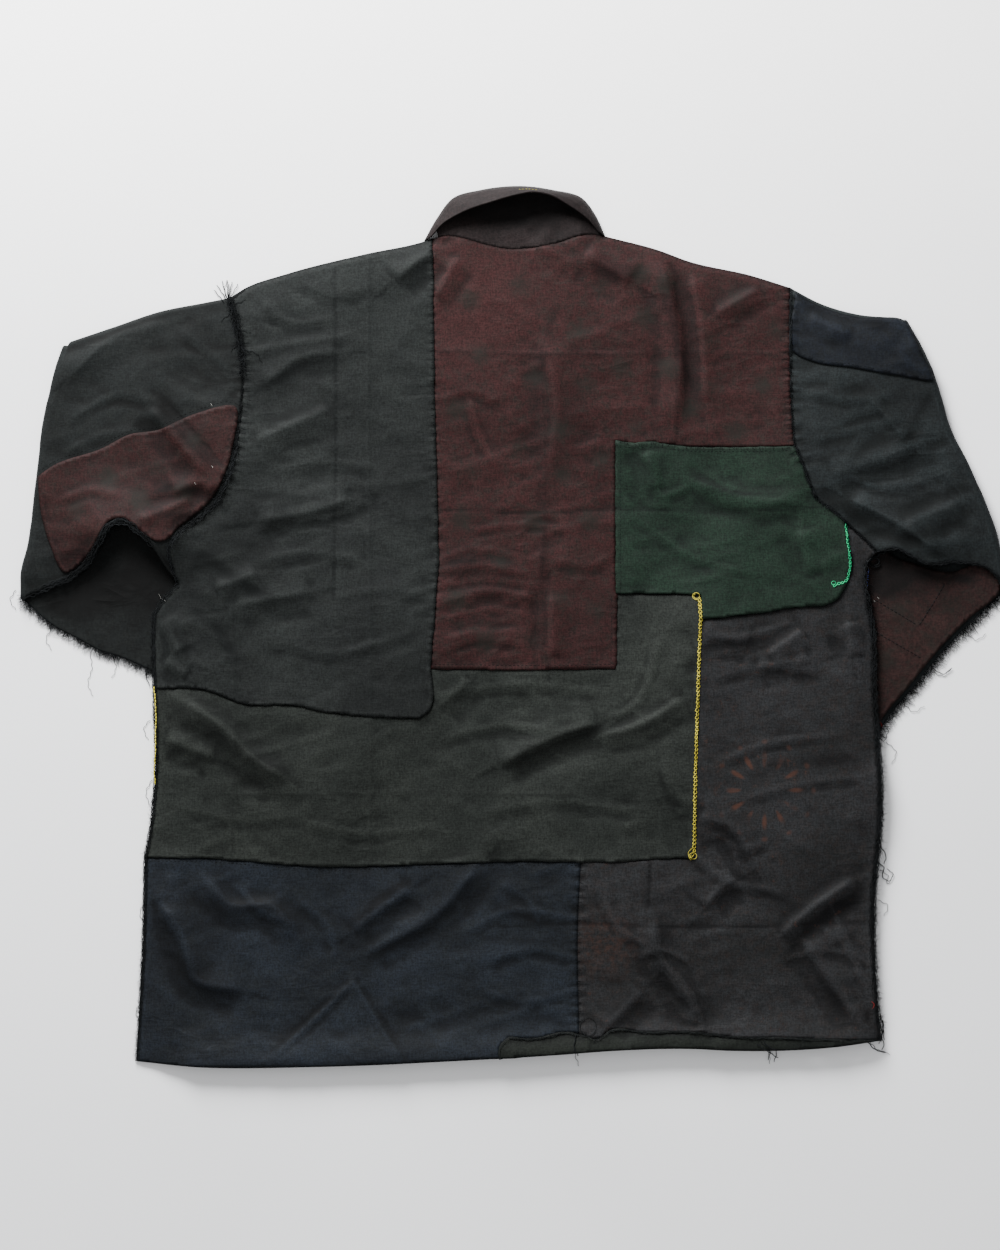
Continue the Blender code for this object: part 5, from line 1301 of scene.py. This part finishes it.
class strandBag:
    # strands of one thread, each a thin tube, gathered into a single mesh
    def __init__(self):
        self.points, self.faces, self.count = [], [], 0

    def add(self, path, radius, sides=3, taper=0.35):
        path = np.asarray(path, float)
        if len(path) < 2:
            return
        ahead = unit(np.gradient(path, axis=0))
        up = np.where(np.abs(ahead[:, 2:3]) > 0.9, (1.0, 0.0, 0.0), (0.0, 0.0, 1.0))
        side = unit(np.cross(ahead, up))
        over = np.cross(side, ahead)
        share = np.linspace(0.0, 1.0, len(path))
        wide = radius * (1.0 - (1.0 - taper) * share ** 2)
        base = self.count
        for k in range(sides):
            turn = 2.0 * math.pi * k / sides
            self.points.append(path + (side * math.cos(turn) + over * math.sin(turn)) * wide[:, None])
        total = len(path)
        for k in range(sides):
            a, b = base + k * total, base + ((k + 1) % sides) * total
            i = np.arange(total - 1)
            self.faces.append(np.stack([a + i, b + i, b + i + 1, a + i + 1], axis=1))
        self.count += sides * total

    def made(self, name, material, slotName, replaced=()):
        points = np.vstack(self.points)
        points[:, 2] = np.maximum(points[:, 2], 0.0001)
        faces = np.vstack(self.faces)
        return addMesh(name, points, faces, material, replaced)


def heightAt(x, y):
    # the top of the highest cloth at a place
    top = 0.0
    for tree, low, high in cloths:
        if low[0] <= x <= high[0] and low[1] <= y <= high[1]:
            hit = touched(tree, x, y)
            if hit is not None and hit.z > top:
                top = hit.z
    return top


def heightsAt(x, y):
    return np.array([heightAt(a, b) for a, b in zip(x, y)])


def sideOf(line):
    # the way along a line, and the way to its left
    ahead = unit(np.gradient(line, axis=0))
    return ahead, np.stack([-ahead[:, 1], ahead[:, 0]], axis=1)


def wisps(bag, rng, line, density, reach, lean, out, rise, radius, inward=0.25, curl=0.5, width=0.0):
    # short strands that stand out of a raw edge; out is the side that they point to
    length = lengthOf(line)
    count = int(length * density)
    spots = np.sort(rng.uniform(0.0, 1.0, count))
    fine = even(line, max(3, int(length / 0.001)))
    ahead, side = sideOf(fine)
    for spot in spots:
        i = min(int(spot * (len(fine) - 1)), len(fine) - 1)
        sign = out if rng.random() > inward else -out
        long = reach * rng.uniform(0.25, 1.0) ** 1.6 * (1.0 if sign == out else 0.6)
        way = side[i] * sign + ahead[i] * (lean + rng.normal(0.0, 0.8))
        way /= np.linalg.norm(way)
        start = fine[i] + side[i] * rng.uniform(-0.5, 0.5) * width - way * 0.0008
        steps = 3
        turn = rng.normal(0.0, curl)
        path = [start]
        for k in range(steps):
            c, s = math.cos(turn * k / steps), math.sin(turn * k / steps)
            bent = np.array([way[0] * c - way[1] * s, way[0] * s + way[1] * c])
            path.append(path[-1] + bent * long / steps)
        path = np.array(path)
        base = heightAt(*path[0])
        tip = heightAt(*path[-1])
        share = np.linspace(0.0, 1.0, len(path))
        lift = rise * rng.uniform(0.2, 1.0)
        ground = np.where(share < 0.4, base, min(base, tip) + (base - min(base, tip)) * (1.0 - share))
        ground = np.maximum(ground, tip * share)
        z = ground + 0.0003 + lift * np.sin(math.pi * share * 0.8)
        bag.add(np.column_stack([path, z]), radius * rng.uniform(0.7, 1.3))


def rope(bag, rng, line, width, height, ply, radius, aside=0.0, rest=0.0003):
    # a raw seam allowance: plies of cloth edge and thread that wander along the seam
    length = lengthOf(line)
    fine = even(line, max(4, int(length / 0.0021)))
    side = sideOf(fine)[1]
    fine = fine + side * aside
    ground = heightsAt(*fine.T)
    for _ in range(2):
        ground[1:-1] = np.maximum(ground[1:-1], (ground[:-2] + ground[2:]) / 2.0)
    at = np.linspace(0.0, length, len(fine))
    for _ in range(ply):
        phase = rng.uniform(0.0, 2.0 * math.pi, 4)
        beat = rng.uniform(0.6, 1.7, 4)
        # two waves sideways and two in height
        waves = np.sin(at[:, None] * (330.0, 760.0, 240.0, 610.0) * beat + phase)
        wander = (waves[:, 0] + 0.7 * waves[:, 1]) * 0.5
        lumps = 0.5 + 0.3 * waves[:, 2] + 0.3 * waves[:, 3]
        across = (rng.uniform(-0.5, 0.5) + 0.35 * wander) * width
        up = rest + height * np.clip(rng.uniform(0.1, 0.8) * (0.6 + lumps), 0.05, 1.0)
        flat = fine + side * across[:, None]
        path = np.column_stack([flat, ground + up])
        # plies begin and end here and there
        start = int(rng.uniform(0.0, 0.35) * len(fine)) if rng.random() < 0.7 else 0
        end = len(fine) - (int(rng.uniform(0.0, 0.35) * len(fine)) if rng.random() < 0.7 else 0)
        if end - start > 5:
            bag.add(path[start:end], radius * rng.uniform(0.6, 1.5), 4, 0.9)


def looseThread(bag, points, radius, lift, wave, rng):
    # one long loose thread along pixels of the photograph
    line = run(points)
    fine = even(line, max(6, int(lengthOf(line) / 0.0012)))
    side = sideOf(fine)[1]
    at = np.linspace(0.0, 1.0, len(fine))
    phase = rng.uniform(0.0, 6.28)
    fine = fine + side * (wave * np.sin(at * lengthOf(line) * 900.0 + phase))[:, None]
    z = heightsAt(*fine.T) + lift + radius
    bag.add(np.column_stack([fine, z]), radius, 4, 0.8)


# The raw seam allowances: width and height of the ridge, plies, wisps a metre and their reach, how far aside
ridges = {
    "leftArmholeTuft": (run(leftArmhole, 0, 2), 0.0066, 0.0032, 9, 7600.0, 0.0086, 0.0008),
    "leftArmholeThin": (run(leftArmhole, 2, 4), 0.0018, 0.0016, 5, 2200.0, 0.0030, 0.0),
    "leftArmholeThick": (run(leftArmhole, 4, 9), 0.0040, 0.0032, 12, 3600.0, 0.0055, 0.0005),
    "leftArmholeEnd": (run(leftArmhole, 9, 11), 0.0026, 0.0022, 7, 2400.0, 0.0040, 0.0),
    "leftUnderarm": (run(leftUnderarm, 2, 11), 0.0052, 0.0034, 15, 5200.0, 0.0064, -0.0010),
    "rightArmholeHigh": (run(rightArmhole, 0, 4), 0.0019, 0.0019, 6, 2400.0, 0.0034, 0.0),
    "rightArmholeLow": (run(rightArmhole, 4, 12), 0.0024, 0.0022, 8, 2600.0, 0.0040, 0.0),
    "rightUnderarm": (run(rightUnderarmEdge, 0, 6), 0.0036, 0.0028, 10, 3800.0, 0.0060, 0.0006),
    "leftSide": (np.vstack([run(leftSideHigh)[:-1], run(leftSideMid)[:-1], run(leftSideLow)]), 0.0032, 0.0025,
                 9, 3600.0, 0.0052, 0.0010),
    "rightSide": (np.vstack([run(rightUnderarm, 1)[:-1], run(rightSide)]), 0.0058, 0.0034, 16, 6000.0, 0.0068,
                  -0.0014),
}
ridgeThread = {"ply": 0.00019, "wisp": 0.00014}  # radii
replacedBy = {"leftArmhole": ["allowance_left_armhole"], "leftUnderarm": ["allowance_left_underarm"],
              "rightArmhole": ["allowance_right_armhole"], "rightUnderarm": ["allowance_right_underarm"],
              "leftSide": ["allowance_left_side"], "rightSide": ["allowance_right_side"]}
ridgeRandom = np.random.default_rng(5)
for group, nodesOf in replacedBy.items():
    bag = strandBag()
    for name, (line, width, height, ply, density, reach, aside) in ridges.items():
        if name.startswith(group):
            rope(bag, ridgeRandom, line, width, height, ply, ridgeThread["ply"], aside)
            for out in (1.0, -1.0):
                wisps(bag, ridgeRandom, line, density * 0.5, reach, 0.0, out, height * 0.9,
                      ridgeThread["wisp"], 0.2, 0.9, width)
    bag.made(group + "Ridge", threadOf["black"], "raw_edge", nodesOf)
print("seam ridges made")

# Raw edges of the patches, hem strip, shoulder seams and cuffs
rawEdges = [
    # line, strands a metre, reach, side that they point to, thread
    (leftPanelEdge, 1500.0, 0.0032, -1.0, "frayed"),
    (leftPanelCorner, 1600.0, 0.0036, -1.0, "frayed"),
    (leftPanelHem, 1700.0, 0.0034, 1.0, "frayed"),
    (greenTop, 1100.0, 0.0026, 1.0, "frayed"),
    (greenSide, 700.0, 0.0020, -1.0, "frayed"),
    (greenFoot, 900.0, 0.0024, -1.0, "frayed"),
    (greenRight, 900.0, 0.0024, 1.0, "frayed"),
    (oliveFoot, 1300.0, 0.0028, -1.0, "frayed"),
    (oliveFootRight, 1200.0, 0.0028, 1.0, "frayed"),
    (stripTop, 1900.0, 0.0040, 1.0, "frayed"),
    (stripTopRight, 1900.0, 0.0040, 1.0, "frayed"),
    (stripHem, 500.0, 0.0022, -1.0, "frayed"),
    (leftHem, 300.0, 0.0018, -1.0, "frayed"),
    (leftForearmFoot[:6], 6500.0, 0.0120, -1.0, "black"),
    (rightForearmFoot[:7], 7500.0, 0.0140, 1.0, "black"),
    (leftElbow, 350.0, 0.0026, 1.0, "black"),
    (rightElbow, 500.0, 0.0034, 1.0, "black"),
    (leftSleeveTop, 300.0, 0.0020, -1.0, "black"),
    (rightSleeveTop, 300.0, 0.0020, 1.0, "black"),
    (leftShoulder, 350.0, 0.0020, -1.0, "black"),
    (rightShoulder, 450.0, 0.0022, 1.0, "black"),
    (collarFold, 260.0, 0.0016, 1.0, "frayed"),
]
edgeRandom = np.random.default_rng(6)
edgeThread = {"radius": 0.00008, "fringe": 0.00018, "loose": 0.00025, "bold": 0.00042, "loop": 0.00028,
              "ply": 0.00016, "rise": 0.0008, "spread": 0.0004, "fringeSpread": 0.0016}
# what turns under at an elbow lies a little further in than its own line
movedBy = {leftForearmFoot[0]: leftShift, rightForearmFoot[0]: rightShift}
blackBag, frayedBag = strandBag(), strandBag()
for line, density, reach, out, kind in rawEdges:
    bag = blackBag if kind == "black" else frayedBag
    shift = movedBy.get(line[0], 0.0)
    strand = edgeThread["fringe"] if line[0] in movedBy else edgeThread["radius"]
    spread = edgeThread["fringeSpread"] if line[0] in movedBy else edgeThread["spread"]
    wisps(bag, edgeRandom, run(line) - shift, density, reach, 0.2, out, edgeThread["rise"], strand, 0.15, 0.9,
          spread)
for line, width, ply in ((stripTop, 0.0022, 7), (stripTopRight, 0.0022, 7), (stripEnd, 0.0014, 4)):
    rope(frayedBag, edgeRandom, run(line), width, 0.0012, ply, edgeThread["ply"])
blackBag.made("blackFray", threadOf["black"], "raw_edge")
frayedBag.made("paleFray", threadOf["frayed"], "raw_edge")
print("raw edges made")

# Long loose threads, in pixels of the photograph: bold ones and finer ones
boldThreads = [
    [(878, 862), (884, 868), (882, 876), (889, 881), (893, 874), (887, 869)],
    [(880, 846), (886, 856), (884, 864)], [(763, 1040), (770, 1050), (768, 1060)],
    [(756, 1043), (766, 1050), (778, 1058)], [(768, 1046), (776, 1050), (774, 1062)],
    [(866, 1040), (876, 1050), (886, 1052)], [(876, 1036), (884, 1042), (882, 1050)],
    [(226, 299), (217, 285)], [(227, 299), (222, 281)], [(228, 299), (227, 280)], [(229, 299), (232, 282)],
    [(230, 299), (238, 284)], [(231, 300), (245, 289)], [(224, 302), (214, 290)], [(229, 298), (229, 284)],
    [(880, 1014), (883, 1028), (881, 1042)], [(878, 1018), (882, 1034), (879, 1044)],
    [(883, 1020), (884, 1040)], [(932, 668), (944, 674), (952, 668)], [(148, 664), (146, 676), (150, 686)],
    [(576, 1034), (574, 1046), (578, 1056)],
]
looseThreads = [
    [(228, 300), (224, 290), (227, 281)], [(236, 304), (246, 300)], [(230, 314), (221, 321)],
    [(240, 330), (251, 333)], [(244, 350), (257, 354), (262, 363)], [(238, 344), (231, 352)],
    [(90, 652), (92, 668), (88, 684), (93, 696)], [(112, 655), (116, 668), (112, 678)],
    [(760, 1040), (768, 1050), (770, 1064)], [(576, 1034), (574, 1050), (579, 1066)],
    [(868, 1040), (878, 1050), (890, 1054)], [(880, 870), (888, 876), (886, 884), (892, 880)],
    [(878, 900), (888, 906), (884, 916)], [(880, 722), (888, 730), (884, 742)],
    [(152, 780), (146, 792), (150, 806)], [(146, 900), (140, 912), (144, 926)],
    [(150, 720), (144, 728), (148, 740)], [(142, 1000), (136, 1012), (140, 1024)],
    [(16, 590), (10, 600), (16, 610)], [(52, 628), (46, 640), (52, 650)],
    [(932, 672), (944, 676), (950, 668)], [(904, 704), (914, 712), (924, 706)],
    [(966, 632), (976, 640), (986, 634)], [(886, 742), (896, 752), (892, 764)],
]
looseBag = strandBag()
for line in looseThreads:
    looseThread(looseBag, line, edgeThread["loose"], 0.0004, 0.0006, edgeRandom)
for line in boldThreads:
    looseThread(looseBag, line, edgeThread["bold"], 0.0008, 0.0003, edgeRandom)
loop = [(588 + 10 * math.cos(a) * 0.8, 1026 + 9 * math.sin(a)) for a in np.linspace(0.3, 6.4, 14)]
looseThread(looseBag, loop, edgeThread["loop"], 0.0006, 0.0, edgeRandom)
looseBag.made("looseThreads", threadOf["black"], "raw_edge")
print("loose threads made")

# Sewing on the showing side


def stitchLine(bag, rng, pixels, long, gap, radius, rise, wander, aside=0.0, over=0.0, inward=0.0):
    # a row of running stitches lying on the cloth, or over an edge whose cloth lies inward in X
    line = run(pixels)
    length = lengthOf(line)
    fine = even(line, max(4, int(length / 0.0004)))
    side = sideOf(fine)[1]
    at = np.linspace(0.0, length, len(fine))
    place = 0.0
    while place + long < length:
        here = place + rng.uniform(-0.1, 0.1) * gap
        spots = np.linspace(here, here + long * rng.uniform(0.85, 1.1), 6)
        shift = aside + rng.normal(0.0, wander)
        x = np.interp(spots, at, fine[:, 0] + side[:, 0] * shift)
        y = np.interp(spots, at, fine[:, 1] + side[:, 1] * shift)
        share = np.linspace(0.0, 1.0, 6)
        ground = np.maximum(heightsAt(x, y), heightsAt(x + inward, y))
        arch = np.sin(math.pi * share)
        z = ground + over + radius * 0.4 + rise * arch - radius * 1.4 * (1.0 - arch) ** 2
        bag.add(np.column_stack([x, y, z]), radius, 5, 1.0)
        place += long + gap


def chainStitch(bag, rng, pixels, pitch, wide, radius):
    # a chain of teardrop loops, each caught inside the one before
    line = run(pixels)
    length = lengthOf(line)
    fine = even(line, max(4, int(length / 0.0004)))
    side = sideOf(fine)[1]
    at = np.linspace(0.0, length, len(fine))
    count = int(length / pitch)
    for i in range(count):
        base = i * pitch + rng.uniform(-0.08, 0.08) * pitch
        long = pitch * rng.uniform(1.12, 1.3)
        half = wide * rng.uniform(0.75, 1.15)
        turn = np.linspace(0.0, 1.0, 15)
        # from the narrow start round the broad end and back
        alongIt = base + long * np.sin(math.pi * turn) ** 0.8
        out = half * np.sin(2.0 * math.pi * turn) * (0.45 + 0.55 * np.sin(math.pi * turn))
        skew = rng.normal(0.0, 0.00015)
        alongIt = np.clip(alongIt, 0.0, length)
        x = np.interp(alongIt, at, fine[:, 0]) + np.interp(alongIt, at, side[:, 0]) * (out + skew)
        y = np.interp(alongIt, at, fine[:, 1]) + np.interp(alongIt, at, side[:, 1]) * (out + skew)
        ground = heightsAt(x, y)
        lift = radius * (0.7 + 0.8 * np.sin(math.pi * turn))
        bag.add(np.column_stack([x, y, ground + lift]), radius, 5, 1.0)


def curl(bag, centre, size, turns, radius, squash, start, lift=0.0008):
    # a small loose curl of thread at the end of a row
    steps = max(10, int(turns * 18))
    angle = start + np.linspace(0.0, turns * 2.0 * math.pi, steps)
    shrink = np.linspace(1.0, 0.55, steps)
    pixels = [(centre[0] + size * shrink[k] * math.cos(angle[k]),
               centre[1] + size * squash * shrink[k] * math.sin(angle[k])) for k in range(steps)]
    points = plan(pixels)
    ground = heightsAt(*points.T)
    z = ground + lift * (0.4 + 0.6 * np.sin(np.linspace(0.0, math.pi, steps))) + radius
    bag.add(np.column_stack([points, z]), radius, 5, 0.9)


sewRandom = np.random.default_rng(9)
yellowBag, greenBag, blueBag, redBag, whiteBag = (strandBag() for _ in range(5))
# chain stitches: line in pixels, length and width of a loop, radius of the thread
yellowChain = ([(699, 597), (700, 620), (699, 647), (697, 712), (695, 777), (694, 853)],
               0.0036, 0.00155, 0.00038)
greenChain = ([(845, 524), (847, 541), (849, 556), (849, 570), (846, 580), (838, 584), (831, 587)],
              0.0036, 0.00120, 0.00034)
# running stitches: line in pixels, length, gap, radius, rise, wander, aside, height over the cloth, inwards
sideStitches = ([(155, 687), (156, 703), (156.5, 715), (156, 733), (155.5, 757), (154.5, 772), (156, 786)],
                0.0026, 0.0004, 0.00052, 0.0002, 0.0002, 0.0, 0.0040, 0.0040)
blueStitches = ([(868, 570), (867, 578), (868, 588)], 0.0042, 0.0012, 0.00034, 0.0003, 0.0003, 0.0, 0.0028)
collarStitches = ([(519, 190.5), (528, 190.6), (540, 192)], 0.0016, 0.0014, 0.00012, 0.0001, 0.0001)
redEnds = ([(880, 722), (882, 727), (879, 731)], [(871, 1001), (874, 1004), (872, 1008)])
whiteFlecks = ((213, 467), (212, 405), (874, 601), (878, 598), (196, 484))

chainStitch(yellowBag, sewRandom, *yellowChain)
curl(yellowBag, (696, 596), 4.4, 1.6, 0.00030, 0.9, 0.4)
curl(yellowBag, (693, 856), 4.6, 1.3, 0.00030, 0.9, 2.0)
looseThread(yellowBag, [(694, 854), (690, 858), (688, 852), (692, 848)], 0.00028, 0.0006, 0.0, sewRandom)
chainStitch(greenBag, sewRandom, *greenChain)
curl(greenBag, (833, 583), 2.6, 1.2, 0.00026, 0.9, 1.0)
stitchLine(yellowBag, sewRandom, *sideStitches)
stitchLine(blueBag, sewRandom, *blueStitches)
for line in redEnds:
    looseThread(redBag, line, 0.00022, 0.0008, 0.0, sewRandom)
for x, y in whiteFlecks:
    looseThread(whiteBag, [(x - 0.8, y - 1.0), (x, y), (x + 0.7, y + 1.2)], 0.00016, 0.0006, 0.0, sewRandom)
looseThread(whiteBag, [(159, 594), (162, 599), (166, 601)], 0.00009, 0.0008, 0.0, sewRandom)
stitchLine(yellowBag, sewRandom, *collarStitches)
yellowBag.made("yellowSewing", threadOf["yellow"], "sewing_thread")
greenBag.made("greenSewing", threadOf["green"], "sewing_thread")
blueBag.made("blueSewing", threadOf["blue"], "sewing_thread")
redBag.made("redThreads", threadOf["red"], "sewing_thread")
whiteBag.made("whiteThreads", threadOf["white"], "sewing_thread")
print("bright sewing made")

# Dark sewing: whipped panel edges, gather stitches and top stitches
darkBag = strandBag()


def whipped(bag, rng, pixels, pitch, long, slant, radius, inwards):
    # short slanting stitches over an edge
    line = run(pixels)
    length = lengthOf(line)
    fine = even(line, max(4, int(length / 0.0006)))
    ahead, side = sideOf(fine)
    count = int(length / pitch)
    for i in range(count):
        k = int((i + rng.uniform(-0.15, 0.15)) * pitch / length * (len(fine) - 1)) % len(fine)
        way = side[k] * inwards + ahead[k] * (slant + rng.normal(0.0, 0.12))
        way /= np.linalg.norm(way)
        size = long * rng.uniform(0.7, 1.25)
        start = fine[k] - way * size * 0.2
        share = np.linspace(0.0, 1.0, 5)
        points = start + way * (share * size)[:, None]
        ground = heightsAt(*points.T)
        z = ground + radius * 0.3 + 0.0002 * np.sin(math.pi * share)
        bag.add(np.column_stack([points, z]), radius, 4, 0.9)


# whipped edges: line, distance between stitches, their length, slant and radius, and the side they point to
for line, pitch, long, slant, radius, inwards in (
        (leftPanelEdge, 0.0060, 0.0036, 0.25, 0.00012, -1.0),
        (leftPanelHem, 0.0095, 0.0040, 0.2, 0.00020, -1.0),
        (greenTop, 0.0110, 0.0032, 0.2, 0.00018, -1.0),
        (rightArmhole[:6], 0.0050, 0.0085, 0.10, 0.00009, -1.0),
        (leftArmhole[1:7], 0.0056, 0.0105, 0.15, 0.00011, 1.0),
        (navyRight, 0.0092, 0.0034, 0.1, 0.00012, 1.0),
        (oliveFoot, 0.0100, 0.0030, 0.1, 0.00016, 1.0)):
    whipped(darkBag, sewRandom, line, pitch, long, slant, radius, inwards)
for line, aside in ((maroonSide, 0.004), (greenSide, -0.004), (maroonFoot, 0.0035), (oliveFoot, 0.0035),
                    (greenTop, -0.0035), (sleevePatch, 0.003), (shoulderPatch[4:], -0.003)):
    stitchLine(darkBag, sewRandom, line, 0.0026, 0.0012, 0.00013, 0.00008, 0.00015, aside)
for line in ([(875, 600), (917, 625)], [(919, 625), (946, 582)], [(876, 632), (924, 660)]):
    stitchLine(darkBag, sewRandom, line, 0.0034, 0.0006, 0.00034, 0.0001, 0.0001)
curledThread = [(887, 551), (876, 556), (866, 564), (864, 576), (866, 590), (869, 605)]
looseThread(darkBag, curledThread, 0.0010, 0.0008, 0.0006, sewRandom)
curl(darkBag, (874, 562), 7.0, 1.4, 0.0006, 0.8, 0.5, 0.002)
darkBag.made("darkSewing", threadOf["black"], "sewing_thread")
print("dark sewing made")

# The floor: plain pale plaster, a little lower than the cloth
floorLook = {"light": (236, 237, 239), "dark": (230, 231, 233), "far": (250, 250, 250), "size": 3.2,
             "below": 0.0002}


def floorMaterial():
    material, tree, shader, place = freshMaterial("paleFloor")
    clouds = cloudy(tree, place, 2.2, 4.0)
    color = blended(tree, ramp(tree, clouds, 0.3, 0.7), linear(*floorLook["light"]),
                    linear(*floorLook["dark"]))
    # painted light: paler beyond the neck, towards the lamp
    paintedLightBeyond = ramp(tree, node(tree, "SeparateXYZ", links={0: place}).outputs[1], 0.15, 0.62)
    color = blended(tree, paintedLightBeyond, color, linear(*floorLook["far"]))
    tree.links.new(color, shader.inputs["Base Color"])
    grain = cloudy(tree, place, 320.0, 3.0)
    bump = node(tree, "Bump", {"Strength": 0.10, "Distance": 0.0004}, {"Height": grain})
    tree.links.new(bump.outputs["Normal"], shader.inputs["Normal"])
    shader.inputs["Roughness"].default_value = 0.9
    shader.inputs["Specular IOR Level"].default_value = 0.15
    return material


half, below = floorLook["size"], floorLook["below"]
floorMesh = bpy.data.meshes.new("floor")
corners = [(x * half, y * half, -below) for x, y in ((-1, -1), (1, -1), (1, 1), (-1, 1))]
floorMesh.from_pydata(corners, [], [(0, 1, 2, 3)])
floor = bpy.data.objects.new("floor", floorMesh)
bpy.context.scene.collection.objects.link(floor)
floorMesh.materials.append(floorMaterial())

# Soft studio light from beyond the neck and a little to the left
lighting = {"azimuth": 112.0, "height": 29.0, "distance": 2.2, "size": 1.1, "power": 212.0, "sky": 0.80}


def softLight(name, azimuth, height, distance, size, power):
    lamp = bpy.data.lights.new(name, "AREA")
    lamp.shape = "DISK"
    lamp.size = size
    lamp.energy = power
    holder = bpy.data.objects.new(name, lamp)
    turn, rise = math.radians(azimuth), math.radians(height)
    at = Vector((math.cos(turn) * math.cos(rise), math.sin(turn) * math.cos(rise), math.sin(rise))) * distance
    holder.location = at
    holder.rotation_euler = (-at).to_track_quat("-Z", "Y").to_euler()
    bpy.context.scene.collection.objects.link(holder)
    return holder


softLight("keyLight", lighting["azimuth"], lighting["height"], lighting["distance"], lighting["size"],
          lighting["power"])
world = bpy.data.worlds.new("studio")
world.use_nodes = True
world.node_tree.nodes["Background"].inputs["Color"].default_value = (1.0, 1.0, 1.0, 1.0)
world.node_tree.nodes["Background"].inputs["Strength"].default_value = lighting["sky"]
bpy.context.scene.world = world

# The camera looks straight down, as the photograph was taken
camera = {"height": 6.0, "sensor": 36.0}
lens = bpy.data.cameras.new("camera")
lens.sensor_width = camera["sensor"]
lens.lens = camera["sensor"] * camera["height"] / (photoSize[1] * pixel)
cameraHolder = bpy.data.objects.new("camera", lens)
middle = plan([(photoSize[0] / 2, photoSize[1] / 2)])[0]
cameraHolder.location = (float(middle[0]), float(middle[1]), camera["height"])
bpy.context.scene.collection.objects.link(cameraHolder)
bpy.context.scene.camera = cameraHolder
print("light and camera set")
